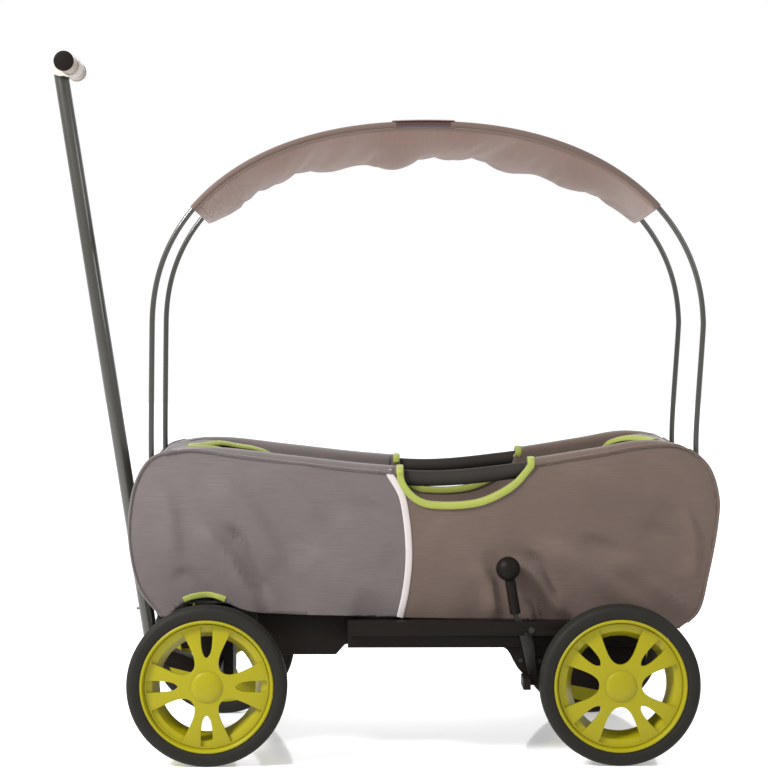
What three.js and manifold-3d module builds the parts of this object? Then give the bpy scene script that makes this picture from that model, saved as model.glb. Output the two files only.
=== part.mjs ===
// Folding pull-along wagon for children: four spoked wheels, a steered front carriage with a
// pull handle, a moulded chassis with a lever brake, a fabric tub on a tube frame, and a sun
// canopy on two lengthwise hoops.
// Millimetres. +X points to the rear, +Y to the far side and +Z up. The origin is on the floor
// under the middle of the wagon's bounding box.
import * as THREE from 'three';
import { mergeVertices } from 'three/addons/utils/BufferGeometryUtils.js';
import Module from 'manifold-3d';

const wasm = await Module();
wasm.setup();

// Driving dimensions
const GAP = 0.3;                 // clearance between pieces that touch
const WHEEL_R = 127.5;
const TYRE_W = 45;
const TYRE_FLATS = 24;           // facets round a wheel, one of them flat on the floor
const RIM_R = 105.6;             // seat of the tyre on the rim
const TRACK = 510;
const FRONT_AXLE_X = -276;
const REAR_AXLE_X = 380;
const AXLE_R = 7;

const TUB_HALF_W = 170;          // outside of the fabric side walls
const TUB_WALL = 6;
const TUB_FLOOR_Z = 240.8;       // underside of the fabric floor
const TUB_SPLIT_X = 42;          // seam between the front and the rear colour
const DECK_FRONT_X = -293;       // the tub is covered in front of this line
const DECK_REAR_X = 442;         // and behind this one
const NOSE_HOLLOW = 34;          // depth of the hollow front wall at its middle

const FRAME_Y = 150;             // plane of the rim tubes and the hoops
const RIM_TUBE_R = 9;
const FOAM_R = 13;
const POST_FRONT_X = -372;       // the hoops' feet
const POST_REAR_X = 515;
const SOCKET_R = 8;
const SOCKET_Z = [330, 455];

const HOOP_R = 4.5;
const HOOP_FOOT_Z = 345;
const HOOP_SPRING_Z = 690;       // height at which the arch starts
const HOOP_TOP_Z = 1023;
const HOOP_MID_X = 78;
const HOOP_HALF_SPAN = 448;
const HOOP_SHAPE_FRONT = 2.25;   // exponents of the arch's superellipse
const HOOP_SHAPE_REAR = 2.18;
const CANOPY_SAG = 40;
const CANOPY_ARC = [0.627, 0.612];  // how far the canopy reaches down the arch, front and rear

const KINGPIN_R = 8;
const HANDLE_PIVOT = new THREE.Vector3(-382, 0, 146);
const HANDLE_LEAN = THREE.MathUtils.degToRad(8.84);
const HANDLE_TUBE_R = 12.4;
const HANDLE_LENGTH = 994;
const GRIP_HALF = 92;
const GRIP_R = 15;
const GRIP_OFFSET = 17;          // the grip lies behind the tube's line
const HUB_R = 21.5;              // the round housing that joins the tube and the grip

const BRAKE_PIVOT = new THREE.Vector2(236, 202);
const LEVER_Y = [198, 202];
const LEVER_SET = -13;           // the hand lever stands this far in front of its shaft
const LEVER_LEAN = THREE.MathUtils.degToRad(9.5);
const KNOB_R = 19.5;
const KNOB_REACH = 106;          // from the brake's shaft to the middle of the knob

// Materials
const finish = (color, roughness, metalness = 0) =>
  new THREE.MeshStandardMaterial({ color, roughness, metalness });
const GREY_CLOTH = finish(0x82787a, 0.9);
const TAUPE_CLOTH = finish(0x7d6d64, 0.9);
const CANOPY_CLOTH = finish(0x99857e, 0.9);
const BLACK_PLASTIC = finish(0x26201c, 0.55);
const FOAM = finish(0x35302b, 0.8);
const TUBE_PAINT = finish(0x3a3632, 0.4, 0.3);
const STEEL = finish(0x8c8c8a, 0.35, 1);
const RIM_PLASTIC = finish(0xb9b228, 0.4);
const TYRE_FOAM = finish(0x343229, 0.75);
const PALE_PLASTIC = finish(0xd9d6d2, 0.45);
const BOARD = finish(0x2b2724, 0.7);

const wagon = new THREE.Group();

function add(name, geometry, material, parent = wagon) {
  const mesh = new THREE.Mesh(geometry, material.clone());
  mesh.name = name;
  parent.add(mesh);
  return mesh;
}

// Solids that are joined or cut
function solid(geometry) {
  const bare = geometry.clone();
  bare.deleteAttribute('normal');
  bare.deleteAttribute('uv');
  const merged = mergeVertices(bare, 1e-4);
  return new wasm.Manifold(new wasm.Mesh({
    numProp: 3,
    vertProperties: new Float32Array(merged.attributes.position.array),
    triVerts: new Uint32Array(merged.index.array),
  }));
}

function geometryOf(manifold) {
  const result = manifold.getMesh();
  const geometry = new THREE.BufferGeometry();
  geometry.setAttribute('position', new THREE.BufferAttribute(result.vertProperties, 3));
  geometry.setIndex(new THREE.BufferAttribute(result.triVerts, 1));
  geometry.computeVertexNormals();
  return geometry;
}

const cut = (body, ...tools) =>
  geometryOf(tools.reduce((rest, tool) => rest.subtract(solid(tool)), solid(body)));
const join = (body, ...more) =>
  geometryOf(more.reduce((whole, piece) => whole.add(solid(piece)), solid(body)));

// Basic shapes in the wagon's frame
function box(x, y, z) {
  const geometry = new THREE.BoxGeometry(x[1] - x[0], y[1] - y[0], z[1] - z[0]);
  return geometry.translate((x[0] + x[1]) / 2, (y[0] + y[1]) / 2, (z[0] + z[1]) / 2);
}

function rod(from, to, radius, sides = 16) {
  const along = new THREE.Vector3().subVectors(to, from);
  const turn = new THREE.Quaternion().setFromUnitVectors(
    new THREE.Vector3(0, 1, 0), along.clone().normalize());
  const geometry = new THREE.CylinderGeometry(radius, radius, along.length(), sides);
  const middle = new THREE.Vector3().addVectors(from, to).multiplyScalar(0.5);
  return geometry.applyQuaternion(turn).translate(middle.x, middle.y, middle.z);
}

const crossRod = (x, z, y, radius, sides) =>
  rod(new THREE.Vector3(x, y[0], z), new THREE.Vector3(x, y[1], z), radius, sides);
const upright = (x, y, z, radius, sides) =>
  rod(new THREE.Vector3(x, y, z[0]), new THREE.Vector3(x, y, z[1]), radius, sides);

// A side view in X and Z, given thickness across the wagon
function sideShape(shape, y, curveSegments = 6) {
  const depth = y[1] - y[0];
  const geometry = new THREE.ExtrudeGeometry(shape, { depth, bevelEnabled: false, curveSegments });
  return geometry.rotateX(Math.PI / 2).translate(0, y[1], 0);
}

// A plan view in X and Y, given height
function planShape(shape, z) {
  const depth = z[1] - z[0];
  const geometry = new THREE.ExtrudeGeometry(shape, { depth, bevelEnabled: false });
  return geometry.translate(0, 0, z[0]);
}

const polygon = (points) => new THREE.Shape(points.map(([x, y]) => new THREE.Vector2(x, y)));

function disc(radius, hole = 0, sides = 10) {
  const ring = (r) => Array.from({ length: sides }, (_, i) => {
    const turn = (i / sides) * 2 * Math.PI;
    return new THREE.Vector2(r * Math.cos(turn), r * Math.sin(turn));
  });
  const shape = new THREE.Shape(ring(radius));
  if (hole > 0) {
    shape.holes.push(new THREE.Path(ring(hole)));
  }
  return shape;
}

const sweep = (section, curve, steps) =>
  new THREE.ExtrudeGeometry(section, { extrudePath: curve, steps, curveSegments: 6 });
const smoothCurve = (points) => new THREE.CatmullRomCurve3(points, false, 'centripetal');

// The near side is -Y and the far side +Y
const SIDES = [['near', -1], ['far', 1]];
const across = (side, low, high) => (side < 0 ? [-high, -low] : [low, high]);

// --- Wheels: axis along Y, outer face towards +Y before they are turned into place ---
const lathe = (profile, segments) => {
  const points = profile.map(([r, y]) => new THREE.Vector2(r, y));
  return new THREE.LatheGeometry(points, segments, Math.PI / segments);
};
const overFlats = 1 / Math.cos(Math.PI / TYRE_FLATS);

function tyreGeometry() {
  const half = TYRE_W / 2;
  const profile = [
    [RIM_R + GAP, -half], [116, -half], [124, -half + 4], [WHEEL_R, -half + 12],
    [WHEEL_R, half - 12], [124, half - 4], [116, half], [RIM_R + GAP, half],
    [RIM_R + GAP, -half],
  ];
  return lathe(profile.map(([r, y]) => [r * overFlats, y]), TYRE_FLATS);
}

// Window between two main spokes, with a round inner end
function wideWindow() {
  const shape = new THREE.Shape();
  shape.moveTo(77.5, -39.5);
  shape.quadraticCurveTo(97, 0, 77.5, 39.5);
  shape.bezierCurveTo(52, 28, 34, 17, 34, 0);
  shape.bezierCurveTo(34, -17, 52, -28, 77.5, -39.5);
  return shape;
}

// Pointed slot that forks a main spoke into two
function forkSlot() {
  const shape = new THREE.Shape();
  shape.moveTo(86, -10.2);
  shape.lineTo(86, 10.2);
  shape.bezierCurveTo(62, 9, 47, 5, 44, 0);
  shape.bezierCurveTo(47, -5, 62, -9, 86, -10.2);
  return shape;
}

function rimGeometry(firstSpoke) {
  const bore = AXLE_R + GAP;
  const profile = [
    [bore, -20], [20, -20], [22, 6], [92, 4], [98, -20], [RIM_R, -20],
    [RIM_R, 21], [99, 21], [96, 15], [30, 17], [bore, 17], [bore, -20],
  ];
  const windows = [];
  for (let quarter = 0; quarter < 4; quarter += 1) {
    const spoke = firstSpoke + (quarter * Math.PI) / 2;
    windows.push(sideShape(forkSlot(), [-30, 30], 3).rotateY(spoke));
    windows.push(sideShape(wideWindow(), [-30, 30], 3).rotateY(spoke + Math.PI / 4));
  }
  return cut(lathe(profile, TYRE_FLATS), ...windows);
}

const capGeometry = () => lathe([[0, 17.3], [23.6, 17.3], [22, 20], [13, 22], [0, 22.5]], 16);

function addWheel(place, side, axleX, firstSpoke) {
  const [sideName, sign] = side;
  const wheel = new THREE.Group();
  wheel.position.set(axleX, (sign * TRACK) / 2, WHEEL_R);
  wheel.rotation.z = sign > 0 ? 0 : Math.PI;
  add(`${place}_tyre_${sideName}`, tyreGeometry(), TYRE_FOAM, wheel);
  add(`${place}_rim_${sideName}`, rimGeometry(firstSpoke), RIM_PLASTIC, wheel);
  add(`${place}_hub_cap_${sideName}`, capGeometry(), RIM_PLASTIC, wheel);
  wagon.add(wheel);
}

for (const side of SIDES) {
  addWheel('front', side, FRONT_AXLE_X, 0);
  addWheel('rear', side, REAR_AXLE_X, Math.PI / 4);
}

// --- Steered front carriage ---
const axleEnds = [-TRACK / 2 - 16, TRACK / 2 + 16];
add('front_axle', crossRod(FRONT_AXLE_X, WHEEL_R, axleEnds, AXLE_R), STEEL);

const carriageBlock = join(
  box([FRONT_AXLE_X - 17, FRONT_AXLE_X + 17], [-226, 226], [111, 144]),
  box([FRONT_AXLE_X - 32, FRONT_AXLE_X + 32], [-60, 60], [111, 178]),
);
add('carriage', cut(
  carriageBlock,
  crossRod(FRONT_AXLE_X, WHEEL_R, [-240, 240], AXLE_R + GAP),
  upright(FRONT_AXLE_X, 0, [148, 190], KINGPIN_R + GAP),
), BLACK_PLASTIC);

add('turntable_washer', planShape(disc(34, KINGPIN_R + GAP, 16), [178 + GAP, 184])
  .translate(FRONT_AXLE_X, 0, 0), PALE_PLASTIC);
add('kingpin', upright(FRONT_AXLE_X, 0, [148 + GAP, 231], KINGPIN_R), STEEL);

const parkCatch = polygon([
  [-308.3, 152], [-330, 152], [-364, 188], [-377, 214], [-371, 222],
  [-365, 222], [-351, 200], [-326, 177], [-308.3, 177],
]);
add('park_catch', sideShape(parkCatch, [-12, 12]), BLACK_PLASTIC);

// The yoke is a fork from the carriage to the foot of the handle
const yokeSide = polygon([
  [-308.3, 111], [-308.3, 133], [-372, 159], [-390, 161], [-401, 150], [-401, 138], [-388, 131],
]);
const pivotAxle = [-25, 25];
add('handle_yoke', cut(
  sideShape(yokeSide, [-24, 24]),
  box([-420, -352], [-14.5, 14.5], [100, 180]),
  crossRod(HANDLE_PIVOT.x, HANDLE_PIVOT.z, [-40, 40], 5 + GAP),
), BLACK_PLASTIC);
add('handle_pivot_pin', crossRod(HANDLE_PIVOT.x, HANDLE_PIVOT.z, pivotAxle, 5, 12), STEEL);

// --- Pull handle, built upright on its pivot and then leaned forward ---
const handle = new THREE.Group();
handle.position.copy(HANDLE_PIVOT);
handle.rotation.y = -HANDLE_LEAN;
wagon.add(handle);
const HUB_Z = HANDLE_LENGTH;
const TUBE_TOP = HUB_Z + 2;
const PARK_PIN_Z = 76;
const PARK_PIN_R = 2.5;
const gripBore = crossRod(GRIP_OFFSET, HUB_Z, [-30, 30], GRIP_R + GAP, 24);
add('handle_tube', cut(
  upright(0, 0, [-11, TUBE_TOP], HANDLE_TUBE_R, 16),
  crossRod(0, 0, [-20, 20], 5 + GAP, 12),
  rod(new THREE.Vector3(-20, 0, PARK_PIN_Z), new THREE.Vector3(20, 0, PARK_PIN_Z),
    PARK_PIN_R + GAP, 10),
  gripBore,
), TUBE_PAINT, handle);
add('park_pin', rod(
  new THREE.Vector3(-16.5, 0, PARK_PIN_Z), new THREE.Vector3(12, 0, PARK_PIN_Z), PARK_PIN_R, 10,
), STEEL, handle);

// The hub wraps the notched top of the tube and the middle of the grip
const hubHousing = join(
  crossRod(4, HUB_Z + 6, [-20, 20], HUB_R, 24),
  crossRod(GRIP_OFFSET, HUB_Z, [-20, 20], GRIP_R + 4, 24),
);
add('handle_hub', cut(
  hubHousing,
  upright(0, 0, [HUB_Z - 30, TUBE_TOP + GAP], HANDLE_TUBE_R + GAP, 16),
  gripBore,
), PALE_PLASTIC, handle);
add('grip_bar', crossRod(GRIP_OFFSET, HUB_Z, [-GRIP_HALF, GRIP_HALF], GRIP_R, 24),
  PALE_PLASTIC, handle);
for (const [sideName, sign] of SIDES) {
  const cap = crossRod(GRIP_OFFSET, HUB_Z, across(sign, GRIP_HALF + GAP, GRIP_HALF + 8),
    GRIP_R + 1.8, 24);
  add(`grip_end_${sideName}`, cap, sign < 0 ? BLACK_PLASTIC : PALE_PLASTIC, handle);
}

// --- Moulded chassis ---
const neckPlan = polygon([
  [-310, -48], [-226, -60], [-200, -150], [-40, -150],
  [-40, 150], [-200, 150], [-226, 60], [-310, 48],
]);
const neckKeel = polygon([
  [-180, 161], [-72, 161], [-57, 178], [-40, 178], [-40, 190], [-180, 190],
]);
const NECK_TOP = 231;
add('front_neck', cut(
  join(
    planShape(neckPlan, [184 + GAP, NECK_TOP]),
    sideShape(neckKeel, [-150, 150]),
  ),
  box([-162, -92], [-132, 132], [150, 208]),
  upright(FRONT_AXLE_X, 0, [170, 240], KINGPIN_R + GAP),
), BLACK_PLASTIC);

const SPINE_X = [-40 + GAP, 450];
const spine = join(
  box(SPINE_X, [-42, 42], [192, NECK_TOP]),
  box([290, 330], [-157, 157], [192, NECK_TOP]),
  box([20, 50], [-157, 157], [192, NECK_TOP]),
);
const shaftBore = crossRod(BRAKE_PIVOT.x, BRAKE_PIVOT.y, [-240, 240], 5.5, 12);
add('chassis_spine', cut(spine, shaftBore), BLACK_PLASTIC);

const RAIL_X = [-53, 446];
for (const [sideName, sign] of SIDES) {
  const rail = join(
    box(RAIL_X, across(sign, 157 + GAP, 192), [178, 214]),
    box(RAIL_X, across(sign, 180, 212), [200, 222]),
  );
  const leverPocket = box([196, 262], across(sign, 192, 204), [150, 240]);
  const skirtChannel = box([-80, 480], across(sign, 150, 176), [201, 240]);
  add(`side_rail_${sideName}`, cut(rail, leverPocket, skirtChannel, shaftBore), BLACK_PLASTIC);
}

const rearBracket = new THREE.Shape();
rearBracket.moveTo(199, 178 - GAP);
rearBracket.quadraticCurveTo(206, 176, 214, 158);
rearBracket.quadraticCurveTo(226, 132, 246, 127);
rearBracket.quadraticCurveTo(300, 119, 352, 108);
rearBracket.lineTo(408, 108);
rearBracket.lineTo(430, 140);
rearBracket.lineTo(430, 178 - GAP);
for (const [sideName, sign] of SIDES) {
  add(`rear_bracket_${sideName}`, cut(
    sideShape(rearBracket, across(sign, 166, 190), 4),
    crossRod(REAR_AXLE_X, WHEEL_R, [-240, 240], AXLE_R + GAP),
  ), BLACK_PLASTIC);
}
add('rear_axle', crossRod(REAR_AXLE_X, WHEEL_R, axleEnds, AXLE_R), STEEL);

// --- Brake: a hand lever on a cross shaft, with a shoe in front of each rear tyre ---
add('brake_shaft', crossRod(BRAKE_PIVOT.x, BRAKE_PIVOT.y, [-LEVER_Y[0] + GAP, LEVER_Y[0] - GAP],
  5, 12), STEEL);

// A point on the lever's leaning line, so far above its shaft
const leverPoint = (reach, off = 0) => [
  BRAKE_PIVOT.x - reach * Math.sin(LEVER_LEAN) + off,
  BRAKE_PIVOT.y + reach * Math.cos(LEVER_LEAN),
];
const armFoot = [leverPoint(-74, 4), leverPoint(-74, -8)];
const leverOutline = polygon([
  ...armFoot, leverPoint(-20, -11), leverPoint(6, -13), leverPoint(26, LEVER_SET - 4),
  leverPoint(90, LEVER_SET - 4), leverPoint(90, LEVER_SET + 4), leverPoint(26, LEVER_SET + 4),
  leverPoint(10, 7), leverPoint(-20, 9),
]);
const farArm = polygon([
  ...armFoot, leverPoint(-20, -11), leverPoint(10, -9), leverPoint(10, 9), leverPoint(-20, 9),
]);
add('brake_lever', sideShape(leverOutline, across(-1, ...LEVER_Y)), TUBE_PAINT);
add('brake_arm_far', sideShape(farArm, across(1, ...LEVER_Y)), TUBE_PAINT);
for (const [sideName, sign] of SIDES) {
  const shoe = join(
    box([226, 238], across(sign, LEVER_Y[1] + GAP, 262), [120, 138]),
    box([226, 251], across(sign, LEVER_Y[1] + GAP, 226), [122, 136]),
  );
  add(`brake_shoe_${sideName}`, shoe, BLACK_PLASTIC);
}

const LEVER_MID_Y = -(LEVER_Y[0] + LEVER_Y[1]) / 2;
const onLever = (reach) => {
  const [x, z] = leverPoint(reach, LEVER_SET);
  return new THREE.Vector3(x, LEVER_MID_Y, z);
};
const blade = sideShape(polygon([
  leverPoint(20, LEVER_SET - 4 - GAP), leverPoint(90 + GAP, LEVER_SET - 4 - GAP),
  leverPoint(90 + GAP, LEVER_SET + 4 + GAP), leverPoint(20, LEVER_SET + 4 + GAP),
]), [-LEVER_Y[1] - GAP, -LEVER_Y[0] + GAP]);
add('brake_sleeve', cut(rod(onLever(32), onLever(86), 8.5, 14), blade), FOAM);
const knob = new THREE.SphereGeometry(KNOB_R, 14, 9);
const knobMiddle = onLever(KNOB_REACH);
knob.translate(knobMiddle.x, knobMiddle.y, knobMiddle.z);
add('brake_knob', cut(knob, blade), BLACK_PLASTIC);

// --- Floor board and tube frame of the tub ---
add('floor_board', box([-300, 470], [-156, 156], [NECK_TOP + GAP, 240]), BOARD);

// Course of the rim tube, which dips between the two crests of the tub
const RIM_COURSE = [
  [-358, 456], [-330, 473], [-284, 481], [-100, 464], [80, 449],
  [220, 461], [347, 480], [430, 492], [475, 486], [498, 466],
];
for (const [sideName, sign] of SIDES) {
  const y = sign * FRAME_Y;
  const course = smoothCurve(RIM_COURSE.map(([x, z]) => new THREE.Vector3(x, y, z)));
  add(`rim_tube_${sideName}`, sweep(disc(RIM_TUBE_R, 0, 8), course, 24), TUBE_PAINT);
  const gripPart = [];
  for (let t = 0.435; t < 0.74; t += 0.05) {
    gripPart.push(course.getPointAt(t));
  }
  add(`grip_foam_${sideName}`, sweep(disc(FOAM_R, RIM_TUBE_R + 1.2, 8), smoothCurve(gripPart), 6),
    FOAM);
}

// An end bow stands on the floor on two stays and carries the two hoop sockets at one end
function endBow(postX, crossX, stayX, crossZ) {
  const point = (x, y, z) => new THREE.Vector3(x, y, z);
  const middle = (postX + crossX) / 2;
  const half = [
    point(postX, FRAME_Y, SOCKET_Z[0] - GAP), point(postX, FRAME_Y, 304),
    point(middle, FRAME_Y - 14, crossZ + 12), point(crossX, FRAME_Y - 50, crossZ),
  ];
  const mirrored = half.map((p) => point(p.x, -p.y, p.z)).reverse();
  const bow = sweep(disc(RIM_TUBE_R - 1, 0, 8), smoothCurve([...half, ...mirrored]), 18);
  const stays = [-90, 90].map((y) =>
    rod(point(crossX, y, crossZ), point(stayX, y, TUB_FLOOR_Z + TUB_WALL + 7.5), 6, 8));
  return join(bow, ...stays);
}
add('front_bow', endBow(POST_FRONT_X, -332, -300, 274), TUBE_PAINT);
add('rear_bow', endBow(POST_REAR_X, 490, 448, 272), TUBE_PAINT);
for (const [sideName, sign] of SIDES) {
  for (const [place, x] of [['front', POST_FRONT_X], ['rear', POST_REAR_X]]) {
    const socket = cut(
      upright(x, sign * FRAME_Y, SOCKET_Z, SOCKET_R, 12),
      upright(x, sign * FRAME_Y, [SOCKET_Z[0] + 12, SOCKET_Z[1] + 5], HOOP_R + GAP, 12),
    );
    add(`hoop_socket_${place}_${sideName}`, socket, BLACK_PLASTIC);
  }
}

// --- Canopy hoops: an arch with straight legs, in two halves joined by a ferrule ---
// share is 0 at the top of the arch and 1 where the legs start
function archPoint(share, direction, y) {
  const turn = (share * Math.PI) / 2;
  const power = 2 / (direction < 0 ? HOOP_SHAPE_FRONT : HOOP_SHAPE_REAR);
  return new THREE.Vector3(
    HOOP_MID_X + direction * HOOP_HALF_SPAN * Math.sin(turn) ** power,
    y,
    HOOP_SPRING_Z + (HOOP_TOP_Z - HOOP_SPRING_Z) * Math.cos(turn) ** power,
  );
}

const FERRULE_SHARE = 0.048;     // part of the half arch that the ferrule covers

function halfHoop(direction, y) {
  const arch = [archPoint(0, direction, y), archPoint(FERRULE_SHARE, direction, y)];
  for (let step = 1; step <= 9; step += 1) {
    arch.push(archPoint(step / 9, direction, y));
  }
  arch[0].x += direction * GAP;
  const footX = direction < 0 ? POST_FRONT_X : POST_REAR_X;
  const leg = [520, 480, 440, HOOP_FOOT_Z].map((z) => new THREE.Vector3(footX, y, z));
  return sweep(disc(HOOP_R, 0, 6), smoothCurve([...arch, ...leg]), 30);
}

for (const [sideName, sign] of SIDES) {
  const y = sign * FRAME_Y;
  add(`hoop_front_half_${sideName}`, halfHoop(-1, y), TUBE_PAINT);
  add(`hoop_rear_half_${sideName}`, halfHoop(1, y), TUBE_PAINT);
  const middle = smoothCurve([
    archPoint(FERRULE_SHARE, -1, y), archPoint(0, 1, y), archPoint(FERRULE_SHARE, 1, y),
  ]);
  add(`hoop_ferrule_${sideName}`, sweep(disc(6.6, HOOP_R + 0.9, 8), middle, 4), STEEL);
}

// --- Canopy: a sheet that sags between sleeves round the two hoops ---
function canopySection() {
  const sag = (u) => CANOPY_SAG * (1 - (u / FRAME_Y) ** 2);
  const upper = [];
  const lower = [];
  for (let u = -120; u <= 120; u += 60) {
    upper.push([u, sag(u) - 2]);
    lower.unshift([u, sag(u) + 3]);
  }
  const round = (centre, radius, from, turns, count) => Array.from({ length: count }, (_, i) => {
    const turn = from + (i / (count - 1)) * turns;
    return [centre + radius * Math.sin(turn), -radius * Math.cos(turn)];
  });
  const quarter = Math.PI / 2;
  const shape = polygon([
    ...upper, ...round(FRAME_Y, 10, -0.5 * quarter, 3 * quarter, 6),
    ...lower, ...round(-FRAME_Y, 10, 1.5 * quarter, 3 * quarter, 6),
  ]);
  for (const centre of [-FRAME_Y, FRAME_Y]) {
    const channel = round(centre, 8, 0, 3.5 * quarter, 8);
    shape.holes.push(new THREE.Path(channel.map(([x, y]) => new THREE.Vector2(x, y))));
  }
  return shape;
}

const canopyArch = [];
for (let step = -9; step <= 9; step += 1) {
  const reach = step < 0 ? CANOPY_ARC[0] : CANOPY_ARC[1];
  canopyArch.push(archPoint((Math.abs(step) / 9) * reach, Math.sign(step), 0));
}
add('canopy', sweep(canopySection(), smoothCurve(canopyArch), 16), CANOPY_CLOTH);

// --- Fabric tub ---
// Side view of the tub, from the lowest point at the front up and round to the rear
const TUB_OUTLINE = [
  [-347, 218], [-388, 269], [-406, 345], [-405, 400], [-394, 448], [-370, 483], [-325, 497],
  [-270, 500], [-148, 487], [-20, 473], [90, 467], [230, 480], [347, 498], [430, 511],
  [490, 502], [532, 470], [549, 420], [548, 380], [532, 290], [516, 232], [485, 205],
  [300, 218], [60, 224], [-192, 231], [-300, 224],
];
const outlinePoints = (() => {
  const knots = TUB_OUTLINE.map(([x, z]) => new THREE.Vector3(x, 0, z));
  const curve = new THREE.CatmullRomCurve3(knots, true, 'centripetal');
  return curve.getSpacedPoints(56).slice(0, -1).map((p) => new THREE.Vector2(p.x, p.z));
})();

function insetOutline(inset) {
  const count = outlinePoints.length;
  return new THREE.Shape(outlinePoints.map((point, i) => {
    const before = outlinePoints[(i + count - 1) % count];
    const after = outlinePoints[(i + 1) % count];
    const along = new THREE.Vector2().subVectors(after, before).normalize();
    return new THREE.Vector2(point.x + along.y * inset, point.y - along.x * inset);
  }));
}

// The front wall is pulled in between its two sides, so the handle can swing past it
function noseHollow(extra) {
  const halfW = TUB_HALF_W;
  const radius = (halfW ** 2 + NOSE_HOLLOW ** 2) / (2 * NOSE_HOLLOW);
  const geometry = new THREE.CylinderGeometry(radius + extra, radius + extra, 400, 96);
  return geometry.rotateX(Math.PI / 2).translate(-407 + NOSE_HOLLOW - radius, 0, 380);
}

const innerHalfW = TUB_HALF_W - TUB_WALL;
const room = solid(sideShape(insetOutline(TUB_WALL), [-innerHalfW, innerHalfW]))
  .intersect(solid(box([-500, 600], [-200, 200], [TUB_FLOOR_Z + TUB_WALL, 600])))
  .subtract(solid(noseHollow(TUB_WALL)));
const mouth = solid(box([DECK_FRONT_X, DECK_REAR_X], [-innerHalfW, innerHalfW], [400, 600]));
const underFloor = solid(box([-334, 478], [-innerHalfW, innerHalfW], [150, TUB_FLOOR_Z]));

// Hand hole: a half-moon under the rim tube, open to the wall's upper edge
const handHole = new THREE.Shape();
handHole.moveTo(28, 560);
handHole.lineTo(28, 470);
handHole.bezierCurveTo(28, 430, 44, 402, 85, 402);
handHole.lineTo(130, 402);
handHole.bezierCurveTo(190, 404, 236, 440, 250, 484);
handHole.lineTo(250, 560);

// Arch in the skirt over each front wheel; an inner flap closes the wall behind it
const wheelArch = new THREE.Shape();
wheelArch.moveTo(-352, 150);
wheelArch.lineTo(-346, 222);
wheelArch.quadraticCurveTo(-318, 262, -280, 257);
wheelArch.quadraticCurveTo(-250, 254, -205, 226);
wheelArch.lineTo(-205, 150);
const FLAP = { x: [-340, -225], y: [innerHalfW - TUB_WALL, innerHalfW], z: [TUB_FLOOR_Z, 264] };

let tub = solid(sideShape(insetOutline(0), [-TUB_HALF_W, TUB_HALF_W]))
  .subtract(solid(noseHollow(0)))
  .subtract(room)
  .add(solid(box(FLAP.x, FLAP.y, FLAP.z)))
  .add(solid(box(FLAP.x, [-FLAP.y[1], -FLAP.y[0]], FLAP.z)))
  .subtract(solid(sideShape(wheelArch, [-200, -innerHalfW])))
  .subtract(solid(sideShape(wheelArch, [innerHalfW, 200])))
  .subtract(mouth)
  .subtract(underFloor)
  .subtract(solid(sideShape(handHole, [-200, 200])));
for (const [, sign] of SIDES) {
  for (const x of [POST_FRONT_X, POST_REAR_X]) {
    tub = tub.subtract(solid(upright(x, sign * FRAME_Y, [445, 530], HOOP_R + 2.5, 10)));
  }
}
const frontPart = solid(box([-500, TUB_SPLIT_X - GAP / 2], [-300, 300], [100, 700]));
add('tub_front', geometryOf(tub.intersect(frontPart)), GREY_CLOTH);
add('tub_rear', geometryOf(tub.subtract(solid(
  box([-500, TUB_SPLIT_X + GAP / 2], [-300, 300], [100, 700])))), TAUPE_CLOTH);

export default wagon;
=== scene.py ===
import math

import bmesh
import bpy
import numpy as np
from mathutils import Matrix, Vector


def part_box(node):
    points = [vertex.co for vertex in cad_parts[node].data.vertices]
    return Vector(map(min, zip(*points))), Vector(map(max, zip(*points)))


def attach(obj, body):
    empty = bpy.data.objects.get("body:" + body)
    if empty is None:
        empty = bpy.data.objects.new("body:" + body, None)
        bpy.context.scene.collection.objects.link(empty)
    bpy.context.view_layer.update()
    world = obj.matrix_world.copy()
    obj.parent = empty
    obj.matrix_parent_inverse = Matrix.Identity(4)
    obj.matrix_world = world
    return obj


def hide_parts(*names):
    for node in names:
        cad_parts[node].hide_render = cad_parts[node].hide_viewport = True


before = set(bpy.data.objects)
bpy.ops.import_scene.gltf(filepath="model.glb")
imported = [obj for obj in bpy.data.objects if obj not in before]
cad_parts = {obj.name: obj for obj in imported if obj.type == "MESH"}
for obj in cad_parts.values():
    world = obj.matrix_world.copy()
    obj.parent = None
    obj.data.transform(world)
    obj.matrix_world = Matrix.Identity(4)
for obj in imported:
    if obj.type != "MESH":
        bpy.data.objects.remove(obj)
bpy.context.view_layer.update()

# ---------------------------------------------------------------------------------------------
# Studio: a pale glossy floor, an even white surround, one soft key light from the front left above
# and two weaker ones from the right and behind. The camera stands a little above the tub's rim.
# ---------------------------------------------------------------------------------------------
CAMERA_PLACE = (-0.0467, -4.1155, 0.7322)
CAMERA_DOWN = math.radians(1.871)
CAMERA_RIGHT = math.radians(0.765)
LENS_MM = 114.4

camera = bpy.data.objects.new("camera", bpy.data.cameras.new("camera"))
camera.data.lens = LENS_MM
camera.data.clip_end = 50
camera.location = CAMERA_PLACE
camera.rotation_euler = (math.pi / 2 - CAMERA_DOWN, 0, -CAMERA_RIGHT)
bpy.context.scene.collection.objects.link(camera)
bpy.context.scene.camera = camera
bpy.context.scene.view_settings.view_transform = "Standard"


def soft_light(name, place, aim, size, watts):
    lamp = bpy.data.lights.new(name, "AREA")
    lamp.size = size
    lamp.energy = watts
    light = bpy.data.objects.new(name, lamp)
    light.location = place
    light.rotation_euler = (Vector(aim) - Vector(place)).to_track_quat("-Z", "Y").to_euler()
    bpy.context.scene.collection.objects.link(light)


soft_light("key_light", (-2.6, -1.7, 2.9), (0, 0, 0.35), 1.0, 275)
soft_light("side_light", (2.6, -1.8, 1.9), (0, 0, 0.4), 1.2, 25)
soft_light("back_light", (0.4, 3.2, 2.6), (0, 0, 0.5), 1.8, 30)

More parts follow.
